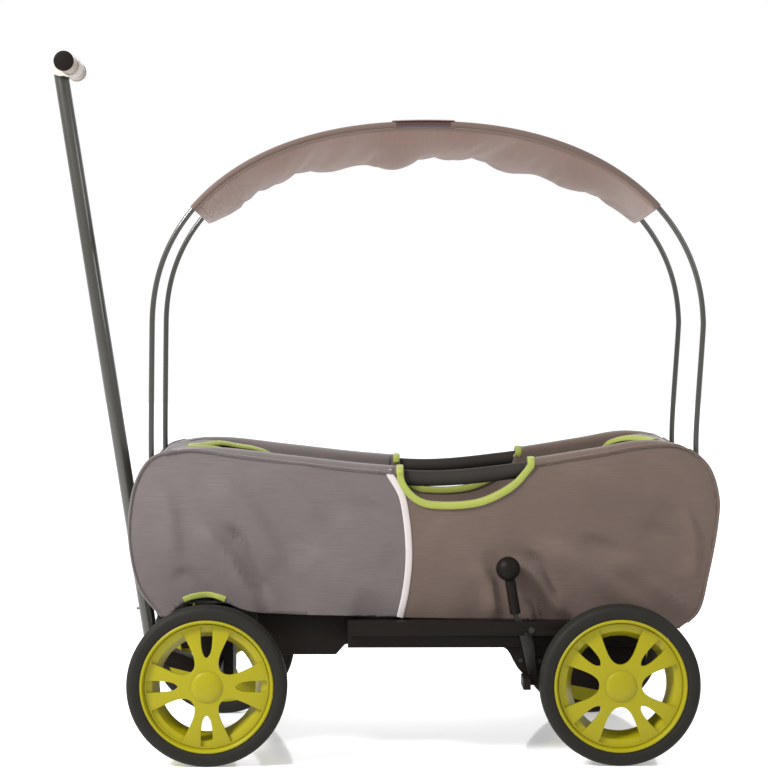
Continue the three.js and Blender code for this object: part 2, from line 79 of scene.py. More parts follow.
world = bpy.data.worlds.new("surround")
world.use_nodes = True
world.node_tree.nodes["Background"].inputs["Color"].default_value = (1.0, 1.0, 1.0, 1)
world.node_tree.nodes["Background"].inputs["Strength"].default_value = 1.0
bpy.context.scene.world = world


def add_node(tree, kind, values=None, feeds=None, **settings):
    """One node with its settings, its socket values and the links that feed it."""
    made = tree.nodes.new(kind)
    for name, value in settings.items():
        setattr(made, name, value)
    for name, value in (values or {}).items():
        made.inputs[name].default_value = value
    for name, (source, output) in (feeds or {}).items():
        tree.links.new(source.outputs[output], made.inputs[name])
    return made


def new_material(name, **surface):
    """A material with one Principled shader; surface holds its uniform socket values."""
    material = bpy.data.materials.new(name)
    material.use_nodes = True
    shader = material.node_tree.nodes["Principled BSDF"]
    for socket, value in surface.items():
        shader.inputs[socket.replace("_", " ")].default_value = value
    return material, material.node_tree, shader


floor_material, tree, shader = new_material("studio_floor", Roughness=0.08, IOR=1.45)
shader.inputs["Base Color"].default_value = (0.93, 0.93, 0.93, 1)
shader.inputs["Emission Color"].default_value = (1, 1, 1, 1)
shader.inputs["Emission Strength"].default_value = 0.3
haze = add_node(tree, "ShaderNodeTexNoise", {"Scale": 1.4, "Detail": 3.0})
soften_gloss = add_node(tree, "ShaderNodeMapRange", {"To Min": 0.05, "To Max": 0.10},
                        {"Value": (haze, "Fac")})
tree.links.new(soften_gloss.outputs["Result"], shader.inputs["Roughness"])
bm = bmesh.new()
bmesh.ops.create_grid(bm, x_segments=8, y_segments=8, size=14)
floor_mesh = bpy.data.meshes.new("floor")
bm.to_mesh(floor_mesh)
bm.free()
floor = bpy.data.objects.new("floor", floor_mesh)
floor_mesh.materials.append(floor_material)
bpy.context.scene.collection.objects.link(floor)

# ---------------------------------------------------------------------------------------------
# Chassis: injection-moulded black polypropylene, fine-grained, with rounded edges. The neck, the
# spine, the flanged side rails and the axle brackets are screwed together under the floor board.
# ---------------------------------------------------------------------------------------------
MM = 0.001
GRAIN_MM = 1.1          # drawn coarser than the mould's real 0.3 mm grain, so that it shows


def linear(hex_colour):
    """An sRGB hex colour as linear red, green, blue and alpha."""
    parts = [int(hex_colour[i:i + 2], 16) / 255 for i in (1, 3, 5)]
    return tuple(c / 12.92 if c <= 0.04045 else ((c + 0.055) / 1.055) ** 2.4 for c in parts) + (1,)


def mix_colours(tree, shader, factor, output, first, second):
    """Feeds the base colour with a mix of two colours, steered by a texture."""
    mix = add_node(tree, "ShaderNodeMix", data_type="RGBA")
    tree.links.new(factor.outputs[output], mix.inputs[0])
    mix.inputs[6].default_value = linear(first) if isinstance(first, str) else first
    mix.inputs[7].default_value = linear(second) if isinstance(second, str) else second
    tree.links.new(mix.outputs[2], shader.inputs["Base Color"])


def moulded_plastic(name, colour, worn_colour, roughness, gloss=0.5, grain_mm=GRAIN_MM,
                    grain_depth=0.25):
    """Moulded plastic: even colour, slightly uneven gloss and a fine spark-eroded grain."""
    material, tree, shader = new_material(name, Roughness=roughness, IOR=1.49,
                                          Specular_IOR_Level=gloss)
    place = add_node(tree, "ShaderNodeTexCoord")
    cloud = add_node(tree, "ShaderNodeTexNoise", {"Scale": 9.0, "Detail": 4.0},
                     {"Vector": (place, "Object")})
    mix_colours(tree, shader, cloud, "Fac", colour, worn_colour)
    sheen_map = add_node(tree, "ShaderNodeMapRange",
                         {"To Min": roughness - 0.05, "To Max": roughness + 0.08},
                         {"Value": (cloud, "Fac")})
    tree.links.new(sheen_map.outputs["Result"], shader.inputs["Roughness"])
    grain = add_node(tree, "ShaderNodeTexNoise", {"Scale": 1 / (grain_mm * MM), "Detail": 2.0},
                     {"Vector": (place, "Object")})
    bump = add_node(tree, "ShaderNodeBump", {"Strength": grain_depth, "Distance": 0.0004},
                    {"Height": (grain, "Fac")})
    tree.links.new(bump.outputs["Normal"], shader.inputs["Normal"])
    return material


black_plastic = moulded_plastic("black_polypropylene", "#0f0b09", "#16110e", 0.48, 0.08)
board_plastic = moulded_plastic("floor_board_abs", "#131110", "#1a1817", 0.6, 0.16)


def finish_piece(piece, material, body, slot=None, *nodes):
    """Gives a new piece its material and its body and hides the CAD nodes it stands for; slot is
    not used.
    """
    piece.data.materials.clear()
    piece.data.materials.append(material)
    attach(piece, body)
    if nodes:
        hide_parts(*nodes)
    return piece


def new_piece(name, bm, smooth_below=40):
    """A mesh object from a bmesh, with edges sharper than the given angle left sharp."""
    mesh = bpy.data.meshes.new(name)
    bm.to_mesh(mesh)
    bm.free()
    mesh.shade_smooth()
    mesh.set_sharp_from_angle(angle=math.radians(smooth_below))
    piece = bpy.data.objects.new(name, mesh)
    bpy.context.scene.collection.objects.link(piece)
    return piece


def rounded_copy(node, name, radius, segments=3, angle=28):
    """A copy of a CAD node's solid whose sharp edges are rounded."""
    bm = bmesh.new()
    bm.from_mesh(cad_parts[node].data)
    bmesh.ops.remove_doubles(bm, verts=bm.verts, dist=0.00002)
    bmesh.ops.dissolve_limit(bm, angle_limit=math.radians(2), verts=bm.verts, edges=bm.edges)
    sharp = [e for e in bm.edges if len(e.link_faces) == 2
             and e.calc_face_angle() > math.radians(angle)]
    bmesh.ops.bevel(bm, geom=sharp, offset=radius, offset_type="OFFSET", segments=segments,
                    profile=0.5, affect="EDGES", material=-1, clamp_overlap=True)
    bmesh.ops.recalc_face_normals(bm, faces=bm.faces)
    return new_piece(name, bm)


CHASSIS_EDGE = 0.0022
STEERING_EDGE = 0.0018
BOARD_EDGE = 0.0015
for node in ("front_neck", "chassis_spine", "side_rail_near", "side_rail_far",
             "rear_bracket_near", "rear_bracket_far"):
    finish_piece(rounded_copy(node, f"{node}_moulding", CHASSIS_EDGE), black_plastic,
                 "chassis", "black_plastic", node)
for node in ("carriage", "park_catch", "handle_yoke"):
    finish_piece(rounded_copy(node, f"{node}_moulding", STEERING_EDGE), black_plastic,
                 "steering", "black_plastic", node)
finish_piece(rounded_copy("floor_board", "floor_board_panel", BOARD_EDGE),
             board_plastic, "chassis", "floor_board", "floor_board")

# ---------------------------------------------------------------------------------------------
# Steel parts: axles, kingpin, handle pins and the brake's shaft. They are turned and zinc plated,
# which leaves a grey, slightly cloudy shine. Each stays in the bore that it was pushed into.
# ---------------------------------------------------------------------------------------------
def lighter(hex_colour, times):
    """A colour in linear values, made lighter or darker by a factor."""
    return tuple(min(1, c * times) for c in linear(hex_colour)[:3]) + (1,)


def plated_steel(name, colour, roughness):
    """Zinc-plated steel: a grey metal whose tone and gloss are slightly cloudy."""
    material, tree, shader = new_material(name, Metallic=1.0, Roughness=roughness)
    place = add_node(tree, "ShaderNodeTexCoord")
    cloud = add_node(tree, "ShaderNodeTexNoise", {"Scale": 60.0, "Detail": 5.0},
                     {"Vector": (place, "Object")})
    mix_colours(tree, shader, cloud, "Fac", colour, lighter(colour, 0.72))
    dull = add_node(tree, "ShaderNodeMapRange",
                    {"To Min": roughness - 0.06, "To Max": roughness + 0.14},
                    {"Value": (cloud, "Fac")})
    tree.links.new(dull.outputs["Result"], shader.inputs["Roughness"])
    return material


zinc_steel = plated_steel("zinc_plated_steel", "#6e6e6c", 0.34)
TURNED_BARS = (("front_axle", "steering", 1), ("rear_axle", "chassis", 1),
               ("kingpin", "chassis", 2), ("handle_pivot_pin", "steering", 1),
               ("brake_shaft", "brake", 1))


def round_bar(name, start, end, radius, edge, sides=40):
    """A turned bar between two points with rounded ends."""
    along = Vector(end) - Vector(start)
    bm = bmesh.new()
    bmesh.ops.create_cone(bm, cap_ends=True, segments=sides, radius1=radius, radius2=radius,
                          depth=along.length)
    rims = [e for e in bm.edges if abs(abs(e.verts[0].co.z - e.verts[1].co.z)) < 1e-6]
    bmesh.ops.bevel(bm, geom=rims, offset=edge, segments=3, profile=0.5, affect="EDGES",
                    material=-1)
    turn = along.to_track_quat("Z", "Y").to_matrix().to_4x4()
    middle = (Vector(start) + Vector(end)) / 2
    bmesh.ops.transform(bm, matrix=Matrix.Translation(middle) @ turn, verts=bm.verts)
    return new_piece(name, bm)


def bar_over(node, name, axis, material, body, slot, edge=0.001):
    """A round bar that fills a CAD node's box along one axis."""
    low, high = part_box(node)
    middle = (low + high) / 2
    across = [i for i in range(3) if i != axis]
    radius = max(high[across[0]] - low[across[0]], high[across[1]] - low[across[1]]) / 2
    start, end = middle.copy(), middle.copy()
    start[axis], end[axis] = low[axis], high[axis]
    return finish_piece(round_bar(name, start, end, radius, edge), material, body, slot, node)


def coat_node(node, material):
    """Gives a CAD node's own solid a finish; the solid stays as it is."""
    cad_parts[node].data.materials.clear()
    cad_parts[node].data.materials.append(material)


for node, body, axis in TURNED_BARS:
    bar_over(node, f"{node}_turned", axis, zinc_steel, body, "steel")
coat_node("park_pin", zinc_steel)

pale_plastic = moulded_plastic("pale_nylon", "#9f9a94", "#aaa59f", 0.42, 0.3, grain_depth=0.1)
finish_piece(rounded_copy("turntable_washer", "turntable_ring", 0.0008, segments=2), pale_plastic,
             "steering", "pale_plastic", "turntable_washer")

# ---------------------------------------------------------------------------------------------
# Tyres: solid EVA foam rings, matt and dark brown-grey, with round shoulders, a smooth side wall
# and two shallow grooves round the tread. They are stretched over the rims.
# ---------------------------------------------------------------------------------------------
TYRE_HALF = 0.0225
TYRE_R = 0.1275
RIM_SEAT = 0.106
WHEEL_STEPS = 144


def eva_foam(name, colour, light_colour):
    """Closed-cell foam: matt and dusty, with a fine cell texture."""
    material, tree, shader = new_material(name, Roughness=0.7, IOR=1.45,
                                          Specular_IOR_Level=0.22)
    place = add_node(tree, "ShaderNodeTexCoord")
    dust = add_node(tree, "ShaderNodeTexNoise", {"Scale": 22.0, "Detail": 6.0},
                    {"Vector": (place, "Object")})
    mix_colours(tree, shader, dust, "Fac", colour, light_colour)
    cells = add_node(tree, "ShaderNodeTexVoronoi", {"Scale": 900.0},
                     {"Vector": (place, "Object")})
    bump = add_node(tree, "ShaderNodeBump", {"Strength": 0.22, "Distance": 0.0004},
                    {"Height": (cells, "Distance")})
    tree.links.new(bump.outputs["Normal"], shader.inputs["Normal"])
    return material


tyre_foam = eva_foam("eva_tyre", "#11100b", "#181610")


def spun(profile, steps=WHEEL_STEPS):
    """A profile of (radius, place along the axle) turned round the Y axis."""
    bm = bmesh.new()
    ring = [bm.verts.new((r, y, 0)) for r, y in profile]
    edges = [bm.edges.new(pair) for pair in zip(ring, ring[1:] + ring[:1])]
    bmesh.ops.spin(bm, geom=ring + edges, cent=(0, 0, 0), axis=(0, 1, 0), angle=2 * math.pi,
                   steps=steps, use_merge=True, use_duplicate=False)
    bmesh.ops.remove_doubles(bm, verts=bm.verts, dist=0.00001)
    bmesh.ops.recalc_face_normals(bm, faces=bm.faces)
    return bm


def arc(centre, radius, start, end, count):
    """Points on a part circle, with the angles in degrees."""
    turns = np.radians(np.linspace(start, end, count))
    return [(centre[0] + radius * math.cos(t), centre[1] + radius * math.sin(t)) for t in turns]


def tyre_profile():
    """The ring's section from its inner foot round the grooved tread to the outer foot."""
    shoulder = 0.0095
    groove = 0.0012
    groove_place = 0.006
    half = TYRE_HALF
    tread = []
    for y in (-groove_place, groove_place):
        tread += [(TYRE_R, y - 0.0016), (TYRE_R - groove, y - 0.0009),
                  (TYRE_R - groove, y + 0.0009), (TYRE_R, y + 0.0016)]
    lower = arc((TYRE_R - shoulder, -half + shoulder), shoulder, -90, 0, 8)
    upper = arc((TYRE_R - shoulder, half - shoulder), shoulder, 0, 90, 8)
    wall = [(0.1105, half - 0.0004), (0.1085, half - 0.0016), (RIM_SEAT, half - 0.0022)]
    foot = [(r, -y) for r, y in reversed(wall)]
    return foot + lower + tread + upper + wall


WHEELS = [(place, side, sign) for place in ("front", "rear")
          for side, sign in (("near", -1), ("far", 1))]


def wheel_place(place, side, sign):
    """Carries a wheel part made at the origin, outer face towards +Y, onto its axle."""
    low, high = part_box(f"{place}_tyre_{side}")
    turn = Matrix.Identity(4) if sign > 0 else Matrix.Rotation(math.pi, 4, "Z")
    return Matrix.Translation((low + high) / 2) @ turn


for place, side, sign in WHEELS:
    bm = spun(tyre_profile())
    bmesh.ops.transform(bm, matrix=wheel_place(place, side, sign), verts=bm.verts)
    finish_piece(new_piece(f"{place}_tyre_{side}_foam", bm, 50), tyre_foam,
                 f"{place}_wheel_{side}", "tyre_foam", f"{place}_tyre_{side}")

# ---------------------------------------------------------------------------------------------
# Rims: one yellow-green polypropylene moulding each. Four main spokes fork into eight arms that
# flare into the lip; behind them lie a deep barrel and a ribbed hub. Satin gloss.
# ---------------------------------------------------------------------------------------------
rim_plastic = moulded_plastic("lime_polypropylene", "#7a7305", "#837c0a", 0.35, 0.2, 2.5, 0.06)


def bezier(p0, p1, p2, p3, count):
    """Points on a cubic curve, without its last one."""
    points = []
    for step in range(count):
        t = step / count
        points.append(tuple(
            (1 - t) ** 3 * a + 3 * (1 - t) ** 2 * t * b + 3 * (1 - t) * t * t * c + t ** 3 * d
            for a, b, c, d in zip(p0, p1, p2, p3)))
    return points


SPOKE_DEPTH = 0.0085
SPOKE_EDGE = 0.0016
CAP_R = 0.0232
CAP_FOOT = 0.0178


def window_outline():
    """The wide window between two main spokes, on the +X axis."""
    side = bezier((0.0888, 0.0350), (0.0680, 0.0255), (0.0334, 0.0205), (0.0334, 0), 14)
    outer = arc((0, 0), 0.09545, -21.5, 21.5, 12)[:-1]
    return outer + side + [(0.0334, 0)] + [(x, -z) for x, z in reversed(side[1:])]


def slot_outline():
    """The pointed slot in the fork of a main spoke, on the +X axis."""
    side = bezier((0.0950, 0.0096), (0.0680, 0.0098), (0.0500, 0.0090), (0.0454, 0), 12)
    outer = arc((0, 0), 0.09548, -5.77, 5.77, 5)[:-1]
    return outer + side + [(0.0454, 0)] + [(x, -z) for x, z in reversed(side[1:])]


def spoke_dish(radius):
    """How far the spokes' face lies from the wheel's middle plane."""
    share = min(max((radius - 0.022) / 0.072, 0), 1)
    return 0.0175 - 0.0035 * share * share


def spokes(first_spoke):
    """The spoke plate: a disc with eight openings, thickened, dished and with soft edges."""
    bm = bmesh.new()
    rings = [arc((0, 0), 0.0985, 0, 360, WHEEL_STEPS + 1)[:-1]]
    for quarter in range(4):
        turn = first_spoke + quarter * math.pi / 2
        for outline, angle in ((slot_outline(), turn), (window_outline(), turn + math.pi / 4)):
            c, s = math.cos(angle), math.sin(angle)
            rings.append([(x * c - z * s, x * s + z * c) for x, z in outline])
    edges = []
    for ring in rings:
        verts = [bm.verts.new((x, 0, z)) for x, z in ring]
        edges += [bm.edges.new(pair) for pair in zip(verts, verts[1:] + verts[:1])]
    bmesh.ops.triangle_fill(bm, edges=edges, use_beauty=True, normal=(0, 1, 0))
    for step in range(-11, 12):
        for normal in ((1, 0, 0), (0, 0, 1)):
            bmesh.ops.bisect_plane(bm, geom=bm.verts[:] + bm.edges[:] + bm.faces[:],
                                   plane_co=Vector(normal) * step * 0.0081 + Vector((0.0007,) * 3),
                                   plane_no=normal)
    for vert in bm.verts:
        vert.co.y = spoke_dish(math.hypot(vert.co.x, vert.co.z))
    bmesh.ops.recalc_face_normals(bm, faces=bm.faces)
    if sum(f.normal.y for f in bm.faces) < 0:
        bmesh.ops.reverse_faces(bm, faces=bm.faces)
    top = bm.faces[:]
    out = bmesh.ops.extrude_face_region(bm, geom=top)
    moved = [v for v in out["geom"] if isinstance(v, bmesh.types.BMVert)]
    bmesh.ops.translate(bm, verts=moved, vec=(0, -SPOKE_DEPTH, 0))
    bmesh.ops.recalc_face_normals(bm, faces=bm.faces)
    rim_edges = [e for e in bm.edges if len(e.link_faces) == 2
                 and e.calc_face_angle() > math.radians(50) and e.verts[0].co.y > 0.0125
                 and e.verts[1].co.y > 0.0125]
    bmesh.ops.bevel(bm, geom=rim_edges, offset=SPOKE_EDGE, segments=3, profile=0.5,
                    affect="EDGES", material=-1, clamp_overlap=True)
    return bm


def rim_barrel():
    """The barrel, its rolled lip and the channel inside the lip."""
    lip = arc((0.1035, 0.0195), 0.0024, 10, 190, 8)
    return ([(RIM_SEAT - 0.0002, -0.0205), (RIM_SEAT - 0.0002, 0.017)] + lip
            + [(0.1002, 0.0165), (0.0990, 0.0122), (0.0975, 0.0112), (0.0885, 0.0108),
               (0.0868, 0.0098), (0.0862, 0.0080), (0.0765, -0.0140), (0.0765, -0.0205)])


def hub():
    """The hub's wall, from its inner end to the flared ring round the cap."""
    return [(0.0075, -0.0200), (0.0185, -0.0200), (0.0205, -0.0185), (0.0215, 0.0100),
            (0.0245, 0.0172), (0.0245, 0.0186), (0.0235, 0.0192), (0.0075, 0.0180)]


def cap():
    """The snap-in hub cap: a short wall and a low dome."""
    dome = [(CAP_R * math.cos(t), 0.0183 + 0.0042 * math.sin(t))
            for t in np.linspace(0, math.pi / 2, 12)]
    return [(CAP_R, CAP_FOOT)] + dome[:-1] + [(0.0001, 0.0225), (0.0001, CAP_FOOT)]


for place, side, sign in WHEELS:
    bm = spokes(0 if place == "front" else math.pi / 4)
    for profile in (rim_barrel(), hub()):
        part = bpy.data.meshes.new("part")
        spun(profile).to_mesh(part)
        bm.from_mesh(part)
        bpy.data.meshes.remove(part)
    bmesh.ops.transform(bm, matrix=wheel_place(place, side, sign), verts=bm.verts)
    finish_piece(new_piece(f"{place}_rim_{side}_moulding", bm, 38), rim_plastic,
                 f"{place}_wheel_{side}", "rim_plastic", f"{place}_rim_{side}")
    bm = spun(cap(), 64)
    bmesh.ops.transform(bm, matrix=wheel_place(place, side, sign), verts=bm.verts)
    finish_piece(new_piece(f"{place}_cap_{side}_dome", bm, 38), rim_plastic,
                 f"{place}_wheel_{side}", "rim_plastic", f"{place}_hub_cap_{side}")

# ---------------------------------------------------------------------------------------------
# Pull handle: a steel tube with dark satin powder coat and plastic fittings on top. It swings on a
# cross pin in the yoke and is parked by a short pin that rests in the catch.
# ---------------------------------------------------------------------------------------------
HANDLE_FOOT = Vector((-0.382, 0, 0.146))
HANDLE_LEAN = math.radians(8.84)
HANDLE_TUBE_R = 0.0124


def powder_coat(name, colour, roughness, coat=0.5):
    """Baked powder paint: satin, with the fine ripple of its flow."""
    material, tree, shader = new_material(name, Roughness=roughness, IOR=1.5, Coat_Weight=coat,
                                          Coat_Roughness=0.12, Specular_IOR_Level=0.35)
    place = add_node(tree, "ShaderNodeTexCoord")
    cloud = add_node(tree, "ShaderNodeTexNoise", {"Scale": 14.0, "Detail": 4.0},
                     {"Vector": (place, "Object")})
    mix_colours(tree, shader, cloud, "Fac", colour, lighter(colour, 1.25))
    ripple = add_node(tree, "ShaderNodeTexNoise", {"Scale": 420.0, "Detail": 1.0},
                      {"Vector": (place, "Object")})
    bump = add_node(tree, "ShaderNodeBump", {"Strength": 0.12, "Distance": 0.0003},
                    {"Height": (ripple, "Fac")})
    tree.links.new(bump.outputs["Normal"], shader.inputs["Normal"])
    return material


tube_paint = powder_coat("dark_powder_coat", "#24231e", 0.30)
grip_plastic = moulded_plastic("grey_nylon", "#847b72", "#8f867c", 0.5, 0.3, grain_depth=0.1)
up_the_handle = Vector((-math.sin(HANDLE_LEAN), 0, math.cos(HANDLE_LEAN)))
grip_low, grip_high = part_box("grip_bar")
grip_middle = (grip_low + grip_high) / 2
hub_reach = (grip_middle - HANDLE_FOOT).dot(up_the_handle)
finish_piece(round_bar("handle_tube_coated", HANDLE_FOOT - up_the_handle * 0.011,
                       HANDLE_FOOT + up_the_handle * (hub_reach + 0.0015), HANDLE_TUBE_R, 0.0015),
             tube_paint, "pull_handle", "tube_paint", "handle_tube")
bar_over("grip_bar", "grip_bar_turned", 1, grip_plastic, "pull_handle", "pale_plastic", 0.002)
bar_over("grip_end_near", "grip_cap_near", 1, black_plastic, "pull_handle", "black_plastic", 0.003)
bar_over("grip_end_far", "grip_cap_far", 1, grip_plastic, "pull_handle", "pale_plastic", 0.003)
finish_piece(rounded_copy("handle_hub", "handle_hub_moulding", 0.0022), pale_plastic,
             "pull_handle", "pale_plastic", "handle_hub")

# ---------------------------------------------------------------------------------------------
# Brake: a flat steel lever, coated black, with a sleeve and a ball knob on the near side, and the
# same arm on the far end of its cross shaft. Each arm pushes a plastic shoe against a rear tyre.
# ---------------------------------------------------------------------------------------------
KNOB_R = 0.0195
SLEEVE_R = 0.0085
SHOE_EDGE = 0.0016
lever_paint = powder_coat("black_powder_coat", "#100f0c", 0.55, 0.05)
for node in ("brake_lever", "brake_arm_far"):
    finish_piece(rounded_copy(node, f"{node}_pressing", 0.0007, 2), lever_paint, "brake",
                 "tube_paint", node)
for node in ("brake_shoe_near", "brake_shoe_far"):
    finish_piece(rounded_copy(node, f"{node}_moulding", SHOE_EDGE), black_plastic, "brake",
                 "black_plastic", node)
knob_low, knob_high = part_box("brake_knob")
knob_middle = (knob_low + knob_high) / 2
sleeve_low, sleeve_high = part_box("brake_sleeve")
sleeve_foot = Vector((sleeve_high.x - SLEEVE_R, knob_middle.y, sleeve_low.z + 0.0015))
bm = bmesh.new()
bmesh.ops.create_uvsphere(bm, u_segments=48, v_segments=32, radius=KNOB_R)
bmesh.ops.translate(bm, verts=bm.verts, vec=knob_middle)
finish_piece(new_piece("brake_knob_ball", bm, 60), black_plastic, "brake", "black_plastic",
             "brake_knob")
sleeve_way = (knob_middle - sleeve_foot).normalized()
sleeve_top = knob_middle - sleeve_way * (KNOB_R - 0.001)
finish_piece(round_bar("brake_sleeve_grip", sleeve_foot, sleeve_top, SLEEVE_R, 0.0014),
             black_plastic, "brake", "grip_foam", "brake_sleeve")

# Pan-head screws, blackened, on each side: one on the rail's flange and two on the rear bracket.
# Each has its place (length, half width, height) and the radius of its head.
SCREWS = ((0.243, 0.2125, 0.2085, 0.0058), (0.227, 0.1905, 0.157, 0.0048),
          (0.257, 0.1905, 0.156, 0.0048))
for side, sign in (("near", -1), ("far", 1)):
    bm = bmesh.new()
    for x, y, z, radius in SCREWS:
        head = bmesh.ops.create_cone(bm, cap_ends=True, segments=24, radius1=radius,
                                     radius2=radius * 0.72, depth=0.003)["verts"]
        turn = Matrix.Rotation(math.pi / 2 * -sign, 4, "X")
        bmesh.ops.transform(bm, matrix=Matrix.Translation((x, sign * y, z)) @ turn, verts=head)
    finish_piece(new_piece(f"bracket_screws_{side}", bm), lever_paint, "chassis", "steel")

# ---------------------------------------------------------------------------------------------
# Tub frame and hoops: bent steel tubes with the handle's powder coat. Black foam covers the rim
# tubes where hands go round them. A brown coated ferrule joins the two halves of each hoop.
# ---------------------------------------------------------------------------------------------
def curve_through(points, step):
    """A smooth curve through points, with a new point about every step."""
    given = np.array(points, float)
    given = np.vstack([2 * given[0] - given[1], given, 2 * given[-1] - given[-2]])
    curve = []
    for p0, p1, p2, p3 in zip(given, given[1:], given[2:], given[3:]):
        t1 = np.linalg.norm(p1 - p0) ** 0.5
        t2 = t1 + np.linalg.norm(p2 - p1) ** 0.5
        t3 = t2 + np.linalg.norm(p3 - p2) ** 0.5
        for t in np.linspace(t1, t2, max(2, round(np.linalg.norm(p2 - p1) / step)), False):
            a1 = p0 + (p1 - p0) * t / t1
            a2 = p1 + (p2 - p1) * (t - t1) / (t2 - t1)
            a3 = p2 + (p3 - p2) * (t - t2) / (t3 - t2)
            b1 = a1 + (a2 - a1) * t / t2
            b2 = a2 + (a3 - a2) * (t - t1) / (t3 - t1)
            curve.append(b1 + (b2 - b1) * (t - t1) / (t2 - t1))
    curve.append(given[-2])
    return np.array(curve)


def drawn_curve(points_mm, step):
    """A smooth curve in metres through points that are given in millimetres."""
    return curve_through([(x * MM, z * MM) for x, z in points_mm], step)


def unit_rows(vectors):
    """Vectors, one a row, each made one metre long."""
    return vectors / np.linalg.norm(vectors, axis=1)[:, None]


def swept(path, section, closed=False, facing=None):
    """A section of (across, outward) points carried along a path, turned outward to facing."""
    path = np.array(path, float)
    ahead = np.roll(path, -1, 0) - np.roll(path, 1, 0)
    if not closed:
        ahead[0] = path[1] - path[0]
        ahead[-1] = path[-1] - path[-2]
    ahead = unit_rows(ahead)
    bm = bmesh.new()
    rings = []
    outward = np.array((0.0, 1.0, 0.0)) if facing is None else None
    for i, (place, way) in enumerate(zip(path, ahead)):
        if facing is not None:
            outward = np.array(facing[i] if np.ndim(facing) > 1 else facing, float)
        outward = outward - way * outward.dot(way)
        outward /= np.linalg.norm(outward)
        across = np.cross(way, outward)
        rings.append([bm.verts.new(place + across * a + outward * b) for a, b in section])
    pairs = list(zip(rings, rings[1:])) + ([(rings[-1], rings[0])] if closed else [])
    for ring, after in pairs:
        for j in range(len(section)):
            k = (j + 1) % len(section)
            bm.faces.new((ring[j], ring[k], after[k], after[j]))
    if not closed:
        bm.faces.new(rings[0])
        bm.faces.new(rings[-1])
    bmesh.ops.recalc_face_normals(bm, faces=bm.faces)
    return bm


def round_section(radius, sides=20):
    """Points round a tube's section."""
    return [(radius * math.cos(t), radius * math.sin(t))
            for t in np.linspace(0, 2 * math.pi, sides, endpoint=False)]


FRAME_Y = 0.150
RIM_TUBE_R = 0.009
FOAM_R = 0.0128
FERRULE_R = 0.0066
HOOP_R = 0.0045
HOOP_MID_X = 0.078
HOOP_HALF_SPAN = 0.448
HOOP_SPRING_Z = 0.690
HOOP_RISE = 0.333
HOOP_POWER = {-1: 2 / 2.25, 1: 2 / 2.18}      # -1 is a hoop's front half and 1 its rear half
HOOP_FEET = {-1: -0.372, 1: 0.515}
# The rim tube's course from front to rear, as (length, height) in millimetres.
RIM_COURSE = ((-358, 456), (-330, 473), (-284, 481), (-100, 464), (80, 449), (220, 461),
              (347, 480), (430, 492), (475, 486), (498, 466))
foam_grip = eva_foam("nbr_foam", "#1b1815", "#24201c")
ferrule_coat = powder_coat("ferrule_coat", "#2a1112", 0.45)


def arch_point(share, way, y=0.0):
    """A place on the arch: share is 0 at its top and 1 at its foot, way -1 in front, 1 behind."""
    turn = share * math.pi / 2
    return np.array((
        HOOP_MID_X + way * HOOP_HALF_SPAN * math.sin(turn) ** HOOP_POWER[way], y,
        HOOP_SPRING_Z + HOOP_RISE * math.cos(turn) ** HOOP_POWER[way]))


rim_curve = drawn_curve(RIM_COURSE, 0.008)
for side, sign in (("near", -1), ("far", 1)):
    y = sign * FRAME_Y
    rim_path = [(x, y, z) for x, z in rim_curve]
    finish_piece(new_piece(f"rim_tube_{side}_bent", swept(rim_path, round_section(RIM_TUBE_R))),
                 tube_paint, "chassis", "tube_paint", f"rim_tube_{side}")
    foam_low, foam_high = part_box(f"grip_foam_{side}")
    foam_path = [p for p in rim_path if foam_low.x + 0.001 < p[0] < foam_high.x - 0.001]
    finish_piece(new_piece(f"grip_foam_{side}_tube", swept(foam_path, round_section(FOAM_R, 28))),
                 foam_grip, "chassis", "grip_foam", f"grip_foam_{side}")
    for half, way in (("front", -1), ("rear", 1)):
        shares = np.linspace(0.0, 1.0, 70) ** 0.9
        arch = [arch_point(s, way, y) for s in shares[:-1]]
        leg = [np.array((HOOP_FEET[way], y, z)) for z in (0.520, 0.480, 0.440, 0.345)]
        hoop_path = curve_through(arch + leg, 0.012)
        finish_piece(new_piece(f"hoop_{half}_{side}_bent", swept(hoop_path, round_section(HOOP_R))),
                     tube_paint, "sun_canopy", "tube_paint", f"hoop_{half}_half_{side}")
        coat_node(f"hoop_socket_{half}_{side}", black_plastic)
    ferrule_path = [arch_point(0.048 * abs(s), -1 if s < 0 else 1, y)
                    for s in np.linspace(-1.25, 1, 16)]
    finish_piece(new_piece(f"hoop_ferrule_{side}_sleeve",
                           swept(ferrule_path, round_section(FERRULE_R))),
                 ferrule_coat, "sun_canopy", "ferrule_steel", f"hoop_ferrule_{side}")
for node in ("front_bow", "rear_bow"):
    coat_node(node, tube_paint)

# ---------------------------------------------------------------------------------------------
# Sun canopy: one piece of woven polyester, sewn into a sleeve along each hoop. It is cut wider and,
# in its middle, longer than the gap it spans, so it sags and creases. Hemmed ends, open at the top
# of each sleeve where the ferrule shows.
# ---------------------------------------------------------------------------------------------
CANOPY_SHARES = (0.627, 0.612)
CANOPY_FLAT_W = 0.332         # in the middle; the two ends are cut narrower, so they hang taut
CANOPY_END_W = 0.307
CANOPY_ROWS = 132
CANOPY_COLUMNS = 44
SLEEVE_SLOT = (0.023, 0.118)  # where each sleeve is open over its ferrule
CANOPY_THICK = 0.0008


